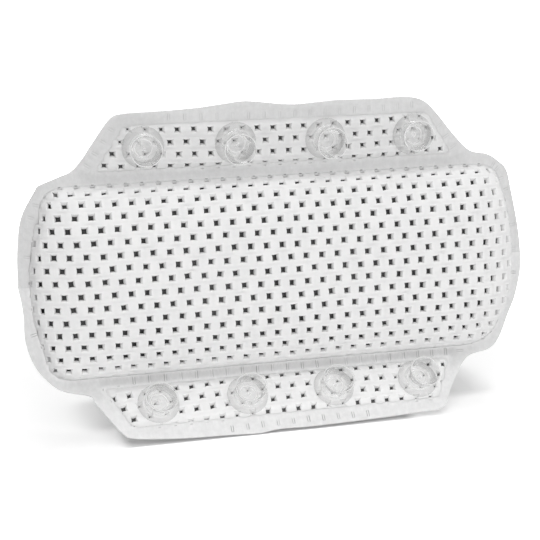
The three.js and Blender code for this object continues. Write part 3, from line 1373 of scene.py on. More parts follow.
@dataclass
class FoamSheet:
    """A perforated foam sheet, made cell by cell. What it lies over is left to its kinds."""

    face: Face
    pose: Pose
    lattice: Lattice
    perforation: Perforation = Perforation()
    creasing: Ripple = Ripple(seed=17, height=0.45, length=13.0)
    crease_share: float = 0.55
    crease_range: Pair = (0.1, 1.3)
    size_spread: float = 0.045
    turn_spread: float = 0.05
    drift_spread: float = 0.16
    seed: int = 11

    def cells(self) -> tuple[Array, Array, Array]:
        """Rows, columns and the openness of holes, across and up, of the sheet's cells."""
        raise NotImplementedError

    def place(self, flat: Array, depth: Array) -> Array:
        """Takes points of the flat sheet to the row frame."""
        raise NotImplementedError

    def base_shade(self) -> float:
        """How much painted shade the whole sheet carries beyond the crown's; below 0, painted light."""
        return 0.0

    def crease(self, flat: Array) -> Array:
        """How deep the sheet is creased between its rows, as a share that wanders from place to place."""
        return np.clip(self.crease_share + self.creasing.at(*flat.T), *self.crease_range)

    def holes(self, centres: Array, opened: Array) -> list[Array]:
        """The holes' own walls, each hole a little different from the next.

        Args:
            centres: Centres of the cells.
            opened: How open each hole is, across and up.

        Returns:
            The outlines of all the holes, for each step of the relief.
        """
        draw = np.random.default_rng(self.seed)
        cell = self.perforation
        count = len(centres)
        shape = cell.loop(1.0, 1.0, cell.bulge / cell.hole)
        size = cell.hole * opened * draw.normal(1.0, self.size_spread, (count, 2))
        turn = draw.normal(0.0, self.turn_spread, count)
        drift = draw.normal(0.0, self.drift_spread, (count, 2))
        cosine, sine = np.cos(turn)[:, None], np.sin(turn)[:, None]
        steps = []
        for wider, _, _ in cell.relief:
            mouthward = min(wider / cell.mouth, 1.0)
            kept = (cell.hole - size) * mouthward
            scaled = shape[None] * (size + wider + kept)[:, None]
            turned = [
                scaled[..., 0] * cosine - scaled[..., 1] * sine,
                scaled[..., 0] * sine + scaled[..., 1] * cosine,
            ]
            shifted = centres + drift + mouthward * np.array(cell.mouth_shift)
            steps.append(shifted[:, None] + np.stack(turned, -1))
        return steps

    def mesh(self) -> PieceMesh:
        """Builds the sheet.

        Returns:
            A closed mesh with every hole open.
        """
        cell = self.perforation
        rows, columns, opened = self.cells()
        centres = self.lattice.centres(rows, columns)
        frame_loop = cell.loop(0.5 * self.lattice.pitch, 0.5 * self.lattice.row, 0.0)
        edges = centres[:, None] + frame_loop[None]
        holes = self.holes(centres, opened)
        count, around = edges.shape[:2]

        unit = np.array([self.lattice.pitch / (2 * cell.columns), self.lattice.row / (2 * cell.lines)])
        keys = np.round((edges - [self.lattice.across, self.lattice.up]) / unit).astype(int)
        keys = keys.reshape(-1, 2)
        shared, first, which = np.unique(keys, axis=0, return_index=True, return_inverse=True)
        which = which.reshape(count, around)
        edge_points = edges.reshape(-1, 2)[first]
        on_row = np.isclose(np.abs(frame_loop[:, 1]), 0.5 * self.lattice.row)
        sunk = np.where(on_row, cell.groove, cell.seam)
        edge_depth = np.tile(sunk, count)[first] * self.crease(edge_points)

        flats = [edge_points, edge_points]
        depths = [edge_depth, np.full(len(shared), cell.sheet)]
        index = []
        # Painted shade in the creases, darker where the sheet is creased deeper.
        creased = np.tile(np.where(on_row, cell.row_shade, cell.seam_shade), count)[first]
        shades = [creased * self.crease(edge_points), np.zeros(len(shared))]
        used = 2 * len(shared)
        for outlines, (_, depth, shade) in zip(holes, cell.relief):
            flats.append(outlines.reshape(-1, 2))
            depths.append(np.full(count * around, depth))
            # Painted shade on each step of the hole, most on its upper side.
            shades.append(np.tile(shade * cell.overhang(), count))
            index.append(used + np.arange(count * around).reshape(count, around))
            used += count * around
        rings = [which, *index, which + len(shared)]
        faces = []
        for upper, lower in zip(rings, rings[1:]):
            after_upper, after_lower = np.roll(upper, -1, 1), np.roll(lower, -1, 1)
            faces.append(np.stack([upper, after_upper, after_lower, lower], -1).reshape(-1, 4))
        faces.append(rim(which, len(shared)))
        flat = self.lattice.askew(np.vstack(flats))
        points = self.place(flat, np.concatenate(depths))
        # Adds the sheet's painted shade over all of it; below 0 it is painted light.
        return PieceMesh(points, np.vstack(faces).tolist(), np.concatenate(shades) + self.base_shade())


@dataclass
class CrownSheet(FoamSheet):
    """One face of the cushion: foam sheet stretched over the crown and welded round it."""

    crown: Crown = Crown()
    swell: Ripple = Ripple(seed=3, height=0.35, length=70.0)
    swell_room: Pair = (2.0, 16.0)
    thick_room: Pair = (-1.0, 5.0)
    thin_share: float = 0.14
    upper_closing: Pair = (-6.0, 5.0)
    lower_closing: Pair = (5.0, 17.0)
    end_closing: Pair = (0.0, 4.0)
    end_share: float = 0.3
    edge_shares: Pair = (0.6, 0.15)
    stretch: float = 0.09
    stretch_span: Pair = (-110.0, 0.0)
    overlap: float = -3.6
    rows: range = range(-10, 11)
    columns: range = range(-20, 21)

    def cells(self) -> tuple[Array, Array, Array]:
        """Picks the cells that lie on the crown, with holes that close towards its edge.

        Returns:
            Rows, columns and the openness of holes, across and up.
        """
        rows, columns = self.lattice.every(self.rows, self.columns)
        flat = self.lattice.askew(self.lattice.centres(rows, columns))
        across, up = self.crown.locate(flat, self.face)
        kept = self.crown.inset(across, up) > self.overlap
        edge = self.crown.edge_arc(self.face)
        end_room = self.crown.inset(across, np.zeros_like(up))
        edge_room = edge - np.abs(flat[:, 1])
        upper, lower = (smoothstep(*span, edge_room) for span in (self.upper_closing, self.lower_closing))
        edge_open = np.where(flat[:, 1] > 0.0, upper, lower)
        end_open = from_least(self.end_share, smoothstep(*self.end_closing, end_room))
        open_across, open_up = (from_least(share, edge_open) for share in self.edge_shares)
        opened = np.stack([end_open * open_across, open_up], -1)
        opened *= 1.0 + self.stretch * smoothstep(*self.stretch_span, across)[:, None]
        return rows[kept], columns[kept], opened[kept]

    def place(self, flat: Array, depth: Array) -> Array:
        """Lays the sheet over the crown.

        Args:
            flat: Points of the flat sheet.
            depth: Their depths below its outer face.

        Returns:
            The points in the row frame.
        """
        across, up = self.crown.locate(flat, self.face)
        inset = self.crown.inset(across, up)
        lift = self.swell.at(across, up) * smoothstep(*self.swell_room, inset)
        thick = from_least(self.thin_share, smoothstep(*self.thick_room, inset))
        across, up, out = self.crown.surface(across, up, depth * thick, self.face)
        return self.pose.stand(across, up, self.face.value * (out + lift))

    def dress(self, finish: bpy.types.Material) -> bpy.types.Object:
        """Makes the piece and sets it in the frame.

        Args:
            finish: The sheet's material.

        Returns:
            The piece.
        """
        word = self.face.name.lower()
        piece = self.mesh().piece(f"{word}_crown_mesh", finish)
        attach(piece, CUSHION_BODY)
        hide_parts(f"{word}_panel")
        return piece


@dataclass
class FlapSheet(FoamSheet):
    """One face of a flap: foam sheet whose edge is melted into the weld."""

    flap: Flap = UPPER_FLAP
    crown: Crown = Crown()
    perforation: Perforation = Perforation(bulge=0.36, mouth_shift=(0.0, 0.0))
    overlap: float = -3.4
    rows: range = range(-18, 19)
    columns: range = range(-16, 17)

    def base_shade(self) -> float:
        """Painted shade over the flap's whole sheet, for the light that falls on it; below 0, lighter."""
        return self.flap.sheet_shade

    def spots(self, flat: Array) -> tuple[Array, Array]:
        """Where points of the flat sheet lie on the flap, across it and from its fold."""
        reach = self.flap.side.value * flat[..., 1] - self.crown.edge_arc(self.face)
        return self.flap.settle(flat[..., 0], reach - self.flap.strip + self.flap.mesh_start)

    def cells(self) -> tuple[Array, Array, Array]:
        """Picks the cells that lie in the flap's window of mesh.

        Returns:
            Rows, columns and the openness of holes, across and up.
        """
        rows, columns = self.lattice.every(self.rows, self.columns)
        across, reach = self.spots(self.lattice.askew(self.lattice.centres(rows, columns)))
        kept = self.flap.inset(across, reach) > self.overlap
        if self.face is Face.FRONT:
            opened = self.flap.openness(across, reach)
        else:
            opened = np.full(len(across), self.flap.hole_share)
        return rows[kept], columns[kept], np.stack([opened, opened], -1)[kept]

    def place(self, flat: Array, depth: Array) -> Array:
        """Lays the sheet along the folded flap."""
        across, reach, out = self.flap.surface(*self.spots(flat), depth)
        return self.pose.folded(across, reach + self.pose.fold, self.face.value * out, self.flap.side)

    def dress(self, finish: bpy.types.Material) -> bpy.types.Object:
        """Makes the piece and sets it in the frame.

        Args:
            finish: The sheet's material.

        Returns:
            The piece.
        """
        name = f"{self.flap.side.word}_flap_{self.face.name.lower()}"
        piece = self.mesh().piece(f"{name}_mesh", finish)
        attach(piece, self.flap.side.body)
        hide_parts(f"{name}_sheet")
        return piece


def closed_grid(top: Array, bottom: Array) -> PieceMesh:
    """Joins two grids of points, one over the other, into a closed slab.

    Args:
        top: The upper grid's points, by row and column.
        bottom: The lower grid's points.

    Returns:
        The slab.
    """
    rows, columns = top.shape[:2]
    index = np.arange(rows * columns).reshape(rows, columns)
    quads = np.stack([index[:-1, :-1], index[:-1, 1:], index[1:, 1:], index[1:, :-1]], -1).reshape(-1, 4)
    rim = np.concatenate([index[0, :-1], index[:-1, -1], index[-1, :0:-1], index[:0:-1, 0]])
    after = np.roll(rim, -1)
    below = rows * columns
    walls = np.stack([after, rim, rim + below, after + below], -1)
    faces = np.vstack([quads, quads[:, ::-1] + below, walls])
    return PieceMesh(np.vstack([top.reshape(-1, 3), bottom.reshape(-1, 3)]), faces.tolist())


@dataclass
class FoamCore:
    """The foam pad that fills the crown."""

    pose: Pose
    crown: Crown = Crown()
    clear: float = 3.5
    edge_clear: float = 3.9
    lowered: float = 2.8
    edge_half: float = 0.3
    first_turn: float = 0.04
    rings: int = 24
    step: float = 4.0

    def mesh(self) -> PieceMesh:
        """Builds the pad as rings that grow from its middle to its edge, on both faces.

        Returns:
            The closed mesh.
        """
        loop = self.crown.outline(self.edge_clear, self.step)
        around = len(loop)
        spread = np.sin(np.linspace(self.first_turn, 0.5 * math.pi, self.rings))
        rings = []
        for face, shares in ((Face.FRONT, spread), (Face.BACK, spread[::-1])):
            for share in shares:
                across, up = (loop * share).T
                inset = self.crown.inset(across, up) - self.clear
                out = self.crown.height(inset, self.crown.full(face) - self.lowered)
                rings.append(self.pose.stand(across, up, face.value * np.maximum(out, self.edge_half)))
        faces = [list(range(around))]
        for ring in range(len(rings) - 1):
            start = ring * around
            for i in range(around):
                after = (i + 1) % around
                faces.append([start + i, start + after, start + around + after, start + around + i])
        faces.append([(len(rings) - 1) * around + i for i in reversed(range(around))])
        return PieceMesh(np.vstack(rings), faces)

    def dress(self, finish: bpy.types.Material) -> bpy.types.Object:
        """Makes the piece and sets it in the frame.

        Args:
            finish: The foam's material.

        Returns:
            The piece.
        """
        piece = self.mesh().piece("foam_core_pad", finish)
        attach(piece, CUSHION_BODY)
        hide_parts("foam_core")
        return piece


@dataclass
class FlapLiner:
    """The thin dark foam between a flap's two sheets, whose darkness stands in for its holes' shade."""

    flap: Flap
    pose: Pose
    edge: float = 1.9
    half: float = 0.35
    rows: int = 13
    columns: int = 91
    swell: Ripple = Ripple(seed=8, height=0.1, length=25.0)

    def mesh(self) -> PieceMesh:
        """Builds the liner inside the flap's window of mesh.

        Returns:
            The closed mesh.
        """
        reach = np.linspace(self.flap.mesh_start + self.edge, self.flap.mesh_end - self.edge, self.rows)
        left, right = self.flap.sides_at(reach)
        across = np.linspace(left + self.edge, right - self.edge, self.columns, axis=-1)
        up = np.broadcast_to(reach[:, None] + self.pose.fold, across.shape)
        middle = self.swell.at(across, up)
        top = self.pose.folded(across, up, middle + self.half, self.flap.side)
        return closed_grid(top, self.pose.folded(across, up, middle - self.half, self.flap.side))

    def dress(self, finish: bpy.types.Material) -> bpy.types.Object:
        """Makes the piece and sets it in the frame.

        Args:
            finish: The foam's material.

        Returns:
            The piece.
        """
        name = f"{self.flap.side.word}_flap_liner"
        piece = self.mesh().piece(f"{name}_pad", finish)
        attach(piece, self.flap.side.body)
        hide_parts(name)
        return piece


@dataclass(frozen=True)
class ClosedHole:
    """A hole that the weld has closed: a shallow slot outline, longest away from the mesh."""

    half_long: float = 2.8
    half_wide: float = 1.2
    line: float = 0.45
    depth: float = 0.3
    around: int = 18
    squareness: float = 0.38

    def rings(self, centre: Array, away: Array, longer: float) -> list[Array]:
        """The slot's outer edge, its groove and its inner edge.

        Args:
            centre: The slot's middle.
            away: The direction in which it is longest.
            longer: How much longer it is than most.

        Returns:
            Three closed loops.
        """
        turn = np.linspace(0.0, 2.0 * math.pi, self.around, endpoint=False)
        cosine, sine = np.cos(turn), np.sin(turn)
        wide = np.sign(cosine) * np.abs(cosine) ** self.squareness
        long = np.sign(sine) * np.abs(sine) ** self.squareness
        aside = np.array([-away[1], away[0]])
        loops = []
        for drawn_in in (0.0, self.line, 2.0 * self.line):
            wide_part = np.multiply.outer(wide * (self.half_wide - drawn_in), aside)
            long_part = np.multiply.outer(long * (self.half_long + longer - drawn_in), away)
            loops.append(centre + wide_part + long_part)
        return loops


@dataclass
class FlatPattern:
    """Points and edges of a flat sheet, gathered before it is cut into triangles."""

    points: list[Array] = field(default_factory=list)
    edges: list[tuple[int, int]] = field(default_factory=list)
    sunk: list[Array] = field(default_factory=list)
    pressed: list[Array] = field(default_factory=list)
    used: int = 0
    same: float = 1e-4

    def add(self, points: Array, sunk: float | Array, pressed: float | Array, join: Join) -> None:
        """Adds points to the pattern.

        Args:
            points: The points.
            sunk: How far each is sunk below the sheet's face.
            pressed: How dark each is made, by closed holes' marks and by painted shade.
            join: How each is joined to the next.
        """
        count = len(points)
        self.points.append(points)
        self.sunk.append(np.broadcast_to(sunk, count))
        self.pressed.append(np.broadcast_to(pressed, count))
        steps = {Join.LOOSE: 0, Join.LINE: count - 1, Join.LOOP: count}[join]
        self.edges += [(self.used + i, self.used + (i + 1) % count) for i in range(steps)]
        self.used += count

    def cut(self, loop: Array, windows: list[Array]) -> tuple[Array, Array, Array, Array]:
        """Cuts the pattern into triangles.

        Args:
            loop: The sheet's outer edge.
            windows: Loops that are cut out of it.

        Returns:
            Points, how far each is sunk, how dark each is marked and shaded, and the triangles.
        """
        flat = np.vstack(self.points)
        made = delaunay_2d_cdt([Vector(p) for p in flat], self.edges, [], 0, self.same)
        points = np.array([tuple(p) for p in made[0]])
        triangles = np.array([list(t) for t in made[2]])
        origin = np.array([came[0] if came else -1 for came in made[3]])
        sunk = np.where(origin >= 0, np.concatenate(self.sunk)[origin], 0.0)
        pressed = np.where(origin >= 0, np.concatenate(self.pressed)[origin], 0.0)
        middles = points[triangles].mean(axis=1)
        kept = inside(middles, loop)
        for window in windows:
            kept &= ~inside(middles, window)
        return points, sunk, pressed, triangles[kept]


@dataclass(frozen=True)
class WeldCut:
    """How one half of the weld was cut out, how light and shade are painted on it, and its marks.

    The outline runs over the flat sheet from the middle of the right side to the middle of the
    left one. It was cut by hand, so it wanders.
    """

    outline: tuple[Pair, ...]
    level: float
    ridged: bool
    strip_press: float
    border_press: float
    mark_strength: float
    # How dark the nicks are painted: painted shade of small holes.
    nick_strength: float


@dataclass
class WeldBorder:
    """Half of the welded border: round the cushion, along a fold strip and round one flap."""

    flap: Flap
    pose: Pose
    lattice: Lattice
    cut: WeldCut
    crown: Crown = Crown()
    hole: ClosedHole = ClosedHole()
    nick: ClosedHole = ClosedHole(half_long=0.45, half_wide=1.1, line=0.2, depth=0.4, squareness=0.7)
    nick_rooms: Pair = (-1.4, 2.0)
    nick_room: float = -0.6
    half: float = 1.05
    cut_share: float = 0.6
    cut_thinning: Pair = (0.0, 3.0)
    under: float = 4.0
    flap_under: float = 1.5
    strip_fade: float = 1.5
    strip_end_fade: float = 12.0
    tip_fade: Pair = (4.0, 18.0)
    mesh_fade: Pair = (0.3, 2.6)
    mark_range: Pair = (0.45, 1.0)
    mark_parts: Triple = (0.1, 0.7, 0.2)
    mark_depth_share: float = 0.4
    mark_middle: float = 0.04
    strip_row: float = 0.2
    strip_longer: float = 0.8
    ridge_half: float = 0.6
    ridge_height: float = 0.14
    ridge_end: float = 0.4
    ridge_start: float = 3.4
    ridge_points: int = 6
    step: float = 2.0
    spacing: float = 2.3
    row_share: float = 0.87
    clearance: float = 0.9
    past_tip: float = 6.0
    past_side: float = 12.0
    turning: Pair = (-5.2, 5.3)
    turning_step: float = 1.15
    turning_clear: float = 6.0
    loose_room: Pair = (1.0, 9.0)
    flutter: Ripple = Ripple(seed=21, height=0.9, length=75.0)
    rows: range = range(-18, 19)
    columns: range = range(-20, 21)
    seed: int = 5

    @property
    def sign(self) -> int:
        """Which way the half lies from the cushion's middle."""
        return self.flap.side.value

    def outer(self) -> Array:
        """Draws the half's outer edge, which closes along the crown's own edge, under the mesh.

        Returns:
            The edge's points, as a closed loop.
        """
        cut = through(list(self.cut.outline), self.step)
        crown = self.crown.outline(self.under, self.step)
        half = crown[self.sign * crown[:, 1] > 0.5 * self.step]
        half = half[np.argsort(-np.arctan2(self.sign * half[:, 1], half[:, 0]))]
        middle = crown[:, 0].max()
        return np.vstack([cut, [[-middle, 0.0]], half, [[middle, 0.0]]])

    def window(self) -> Array:
        """Draws the opening under the flap's mesh.

        Returns:
            The opening's edge, as a closed loop.
        """
        near = self.flap.mesh_start + self.flap_under
        far = self.flap.mesh_end - self.flap_under
        right, left = [], []
        for reach in (near, far):
            up = self.sign * (self.pose.fold + reach)
            low, high = self.flap.sides_at(reach)
            right.append((high - self.flap_under, up))
            left.append((low + self.flap_under, up))
        return resampled(np.array(right + left[::-1]), self.step)

    def strip_share(self, points: Array) -> Array:
        """Tells how far points lie inside the strip between the crown and the flap's mesh.

        Args:
            points: Points of the flat sheet.

        Returns:
            Shares from 0 outside the strip to 1 inside it.
        """
        away = np.abs(self.sign * points[:, 1] - self.pose.fold)
        beside = np.abs(points[:, 0]) - self.flap.root_half + self.flap.side_border
        half = 0.5 * self.flap.strip
        within = 1.0 - smoothstep(half, half + self.strip_fade, away)
        return within * (1.0 - smoothstep(0.0, self.strip_end_fade, beside))

    def press(self, points: Array) -> Array:
        """How far points are darkened: painted shade, and the fold strip's own greyer weld.

        Args:
            points: Points of the flat sheet.

        Returns:
            Shades, most along the strip, and none at the flap's tip or right beside the mesh.
        """
        reach = self.sign * points[:, 1] - self.pose.fold
        # Painted shade along the fold strip beside the crown, and on the lower border, fading along the
        # flap.
        pressed = np.maximum(self.cut.border_press, self.cut.strip_press * self.strip_share(points))
        room = np.minimum(-self.crown.inset(*points.T), -self.flap.inset(points[:, 0], reach))
        return pressed * (1.0 - smoothstep(*self.tip_fade, reach)) * smoothstep(*self.mesh_fade, room)

    def hole_spots(self) -> list[tuple[ClosedHole, Array, Array, float]]:
        """Finds where the sheet's own holes fall on the weld, or are cut by its edge.

        Returns:
            Their kinds, their middles, the directions away from the mesh, and how much longer each is.
        """
        rows, columns = self.lattice.every(self.rows, self.columns)
        flat = self.lattice.askew(self.lattice.centres(rows, columns))
        edge = self.crown.edge_arc(Face.FRONT)
        spots = []
        for place in flat[self.sign * flat[:, 1] > 0.0]:
            longer = 0.0
            if abs(place[1]) <= edge:
                across, up = self.crown.locate(place[None], Face.FRONT)
                room = self.crown.inset(across, up)[0]
                east, north = self.crown.inward(across, up)
                centre = np.array([across[0], up[0]])
                away = np.array([-east[0], -north[0]])
            else:
                straight = np.array([abs(place[1]) - edge + self.crown.half_h - self.pose.fold])
                across, reach = self.flap.settle(place[:1], straight)
                if abs(reach[0]) < 0.5 * self.flap.strip:
                    reach = np.full(1, self.strip_row)
                    longer = self.strip_longer
                room = self.flap.inset(across, reach)[0]
                east, north = self.flap.inward(across, reach)
                centre = np.array([across[0], self.sign * (reach[0] + self.pose.fold)])
                away = np.array([-east[0], -self.sign * north[0]])
            if room < self.nick_rooms[0]:
                spots.append((self.hole, centre, away, longer))
            elif room < self.nick_rooms[1]:
                spots.append((self.nick, centre + away * (room - self.nick_room), away, 0.0))
        return spots

    def pattern(self) -> tuple[Array, Array, Array, Array]:
        """Draws the flat sheet with its closed holes and ridges, and cuts it into triangles.

        Returns:
            Points, how far each is sunk, how dark each is marked and shaded, and the triangles.
        """
        draw = np.random.default_rng(self.seed)
        loop, window = self.outer(), self.window()
        pattern = FlatPattern()
        pattern.add(loop, 0.0, self.press(loop), Join.LOOP)
        pattern.add(window, 0.0, self.press(window), Join.LOOP)
        fixed = [loop, window]
        edges = np.vstack(fixed)
        for hole, centre, away, longer in self.hole_spots():
            rings = hole.rings(centre, away, longer)
            most = self.cut.mark_strength if hole is self.hole else self.cut.nick_strength
            strength = draw.uniform(*self.mark_range) * most
            phase = draw.uniform(0.0, 2.0 * math.pi)
            within = inside(rings[0], loop).all() and not inside(rings[0], window).any()
            near = np.linalg.norm(rings[0][:, None] - edges[None], axis=2).min()
            if not within or near < self.clearance:
                continue
            turn = np.linspace(0.0, 2.0 * math.pi, hole.around, endpoint=False)
            even, ends, one_side = self.mark_parts
            uneven = even + ends * np.cos(turn) ** 2 + one_side * np.cos(turn - phase)
            if hole is self.nick:
                uneven = np.ones(hole.around)
            dark = np.clip(strength * uneven, 0.0, 1.0)
            base = self.press(rings[0])
            sunk = hole.depth * from_least(self.mark_depth_share, dark)
            pattern.add(rings[0], 0.0, base, Join.LOOP)
            pattern.add(rings[1], sunk, np.maximum(dark, base), Join.LOOP)
            # A nick is painted dark through its middle: painted shade for the small half-shut hole it is.
            if hole is self.nick:
                pattern.add(rings[2], hole.depth, dark, Join.LOOP)
            else:
                pattern.add(rings[2], self.mark_middle, base, Join.LOOP)
            fixed += rings
        if self.cut.ridged:
            fixed += self.add_ridges(pattern, np.vstack(fixed), loop)
        loose = self.loose_points(loop, window, np.vstack(fixed))
        pattern.add(loose, 0.0, self.press(loose), Join.LOOSE)
        return pattern.cut(loop, [window])

    def add_ridges(self, pattern: FlatPattern, fixed: Array, loop: Array) -> list[Array]:
        """Adds the light ridges that the weld leaves across the strip, one for each hole of a row.

        Args:
            pattern: The sheet so far.
            fixed: Points that the ridges keep clear of.
            loop: The sheet's outer edge.

        Returns:
            The ridges' points.
        """
        added = []
        half = 0.5 * self.flap.strip - self.ridge_end
        starts = np.arange(-self.flap.root_half, self.flap.root_half, self.lattice.pitch)
        for across in starts + self.ridge_start:
            reach = np.linspace(-half, half, self.ridge_points)
            up = self.sign * (self.pose.fold + reach)
            middle = np.stack([across + self.lattice.skew * up, up], -1)
            near = np.linalg.norm(middle[:, None] - fixed[None], axis=2).min()
            if near < self.clearance + self.ridge_half or not inside(middle, loop).all():
                continue
            for offset in (-1.0, 0.0, 1.0):
                line = middle + [offset * self.ridge_half, 0.0]
                crest = 1.0 - abs(offset)
                # The ridges' crests are left light, and their sides take the strip's painted shade.
                shade = self.cut.strip_press * abs(offset)
                pattern.add(line, -crest * self.ridge_height, shade, Join.LINE)
                added.append(line)
        return added

    def loose_points(self, loop: Array, window: Array, fixed: Array) -> Array:
        """Scatters points over the sheet, closer together where it folds.

        Args:
            loop: The sheet's outer edge.
            window: The opening in it.
            fixed: Points that the new ones keep clear of.

        Returns:
            The scattered points.
        """
        fold = self.pose.fold
        far = fold + self.flap.length + self.past_tip
        coarse = np.arange(self.spacing, far, self.spacing * self.row_share)
        start, end = self.turning
        turning = np.arange(fold + start, fold + end, self.turning_step)
        ups = np.sort(np.concatenate([coarse[np.abs(coarse - fold) > self.turning_clear], turning]))
        side = self.crown.half_w + self.past_side
        rows = []
        for count, up in enumerate(ups):
            across = np.arange(-side, side, self.spacing)
            across = across + (count % 2) * 0.5 * self.spacing
            rows.append(np.stack([across, np.full_like(across, self.sign * up)], -1))
        points = np.vstack(rows)
        points = points[inside(points, loop) & ~inside(points, window)]
        away = np.array([np.linalg.norm(fixed - p, axis=1).min() for p in points])
        return points[away > self.clearance]

    def mesh(self) -> PieceMesh:
        """Gives the cut sheet its thickness, its flutter and its fold.

        Returns:
            The closed mesh.
        """
        flat, sunk, pressed, triangles = self.pattern()
        across, up = flat.T
        outside = -self.crown.inset(across, up)
        room = np.minimum(outside, -self.flap.inset(across, self.sign * up - self.pose.fold))
        wave = self.flutter.at(across, up) * smoothstep(*self.loose_room, room)
        cut = through(list(self.cut.outline), self.step)
        edge_room = np.array([np.linalg.norm(cut - place, axis=1).min() for place in flat])
        thick = from_least(self.cut_share, smoothstep(*self.cut_thinning, edge_room))
        height = self.half * thick - sunk
        top = self.pose.folded(across, self.sign * up, wave + height, self.flap.side)
        bottom = self.pose.folded(across, self.sign * up, wave - height, self.flap.side)
        count = len(flat)
        lower = triangles[:, ::-1] + count
        faces = [*triangles.tolist(), *lower.tolist(), *rim(triangles, count).tolist()]
        return PieceMesh(np.vstack([top, bottom]), faces, np.concatenate([pressed, pressed]))

    def dress(self, finish: bpy.types.Material) -> bpy.types.Object:
        """Makes the piece and bends it over its fold.

        Args:
            finish: The weld's material.

        Returns:
            The piece.
        """
        piece = self.mesh().piece(f"{self.flap.side.word}_weld_border", finish)
        start, end = self.pose.fold_span(self.flap.side)
        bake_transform(piece, CUSHION_BODY, self.flap.side.body, start=start, end=end)
        return piece


@dataclass
class SuctionCup:
    """A clear cup on its round flange, turned about the axis that points out of the flap.

    Each point of the profile is a radius, a height and how much light is painted on the vinyl
    there: a white highlight above 0, grey shade below 0.
    """

    flap: Flap
    pose: Pose
    count: int
    across: float
    around: int = 72
    smoothing: int = 2
    corner_cut: float = 0.25
    oval: float = 0.02
    leaning: Pair = (0.1, 1.0)
    seed: int = 40
    side_seed: int = 10
    profile: tuple[Triple, ...] = (
        (0.0, 0.0, 0.0),
        (13.9, 0.0, -0.3),
        (14.2, 0.2, -0.6),
        (14.2, 0.8, -0.8),
        (13.8, 1.1, -0.6),
        (10.4, 1.15, -0.4),
        (9.4, 1.7, 0.5),
        (9.2, 3.2, -0.1),
        (9.6, 7.0, -0.3),
        (10.5, 10.2, -0.8),
        (11.1, 10.9, 0.6),
        (11.0, 11.5, 1.0),
        (10.3, 11.5, 1.0),
        (9.9, 10.9, -0.3),
        (8.8, 7.4, -0.7),
        (7.4, 4.6, -0.4),
        (6.4, 3.2, 0.4),
        (5.6, 2.6, 0.7),
        (4.6, 2.5, -0.3),
        (1.9, 2.55, -0.3),
        (1.4, 3.2, 0.6),
        (0.0, 3.3, 0.2),
    )

    @property
    def name(self) -> str:
        """The cup's node in the frame."""
        return f"{self.flap.side.word}_suction_cup_{self.count + 1}"

    def smooth_profile(self) -> Array:
        """Cuts the profile's corners to soft curves.

        Returns:
            The finer profile, which still starts and ends on the axis.
        """
        line = np.array(self.profile)
        for _ in range(self.smoothing):
            near = (1.0 - self.corner_cut) * line[:-1] + self.corner_cut * line[1:]
            far = self.corner_cut * line[:-1] + (1.0 - self.corner_cut) * line[1:]
            between = np.stack([near, far], 1).reshape(-1, line.shape[1])
            line = np.vstack([line[:1], between[1:-1], line[-1:]])
        return line

    def mesh(self) -> PieceMesh:
        """Turns the profile, then leans the cup over as the photographed one leans.

        Returns:
            The closed mesh.
        """
        draw = np.random.default_rng(self.seed + self.count + self.side_seed * self.flap.side.value)
        line = self.smooth_profile()
        turn = np.linspace(0.0, 2.0 * math.pi, self.around, endpoint=False)
        squeeze = 1.0 + self.oval * np.cos(2.0 * (turn - draw.uniform(0.0, math.pi)))
        height = line[:, 1].max()
        radius, out = line[1:-1, 0], line[1:-1, 1]
        share = smoothstep(*self.leaning, out / height)
        wide = 1.0 + (squeeze[None] - 1.0) * share[:, None]
        lean_across, lean_along = self.flap.leans[self.count]
        x = radius[:, None] * np.cos(turn)[None] * wide + lean_across * share[:, None]
        y = radius[:, None] * np.sin(turn)[None] * wide + lean_along * share[:, None]
        rings = np.stack([x, y, np.broadcast_to(out[:, None], x.shape)], -1).reshape(-1, 3)
        top_share = smoothstep(*self.leaning, line[-1, 1] / height)
        bottom = [0.0, 0.0, line[0, 1]]
        top = [lean_across * top_share, lean_along * top_share, line[-1, 1]]
        local = np.vstack([rings, bottom, top])
        rows = len(radius)
        faces = []
        for i in range(self.around):
            after = (i + 1) % self.around
            faces.append([len(rings), after, i])
            for row in range(rows - 1):
                low, high = row * self.around, (row + 1) * self.around
                faces.append([low + i, low + after, high + after, high + i])
            last = (rows - 1) * self.around
            faces.append([len(rings) + 1, last + i, last + after])
        placed = self.pose.folded(
            self.across + local[:, 0],
            self.pose.fold + self.flap.cup_reach + local[:, 1],
            self.flap.cup_floor + local[:, 2],
            self.flap.side,
        )
        # Each point's painted light: a white highlight above 0, grey shade below 0.
        cloud = np.concatenate([np.repeat(line[1:-1, 2], self.around), line[[0, -1], 2]])
        return PieceMesh(placed, faces, cloud)

    def dress(self, finish: bpy.types.Material) -> bpy.types.Object:
        """Makes the piece and sets it in the frame.

        Args:
            finish: The cup's material.

        Returns:
            The piece.
        """
        piece = self.mesh().piece(f"{self.flap.side.word}_clear_cup_{self.count + 1}", finish)
        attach(piece, self.flap.side.body)
        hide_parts(self.name)
        return piece


@dataclass(frozen=True)
class Lamp:
    """A soft area lamp that looks at the pillow."""

    name: str
    place: Triple
    size: Pair
    power: float

    def light(self) -> None:
        """Adds the lamp to the scene."""
        data = bpy.data.lights.new(self.name, "AREA")
        data.shape = "RECTANGLE"
        data.size, data.size_y = self.size
        data.energy = self.power
        made = bpy.data.objects.new(self.name, data)
        made.location = self.place
        made.rotation_euler = (-Vector(self.place)).to_track_quat("-Z", "Y").to_euler()
        made.visible_transmission = False
        bpy.context.scene.collection.objects.link(made)


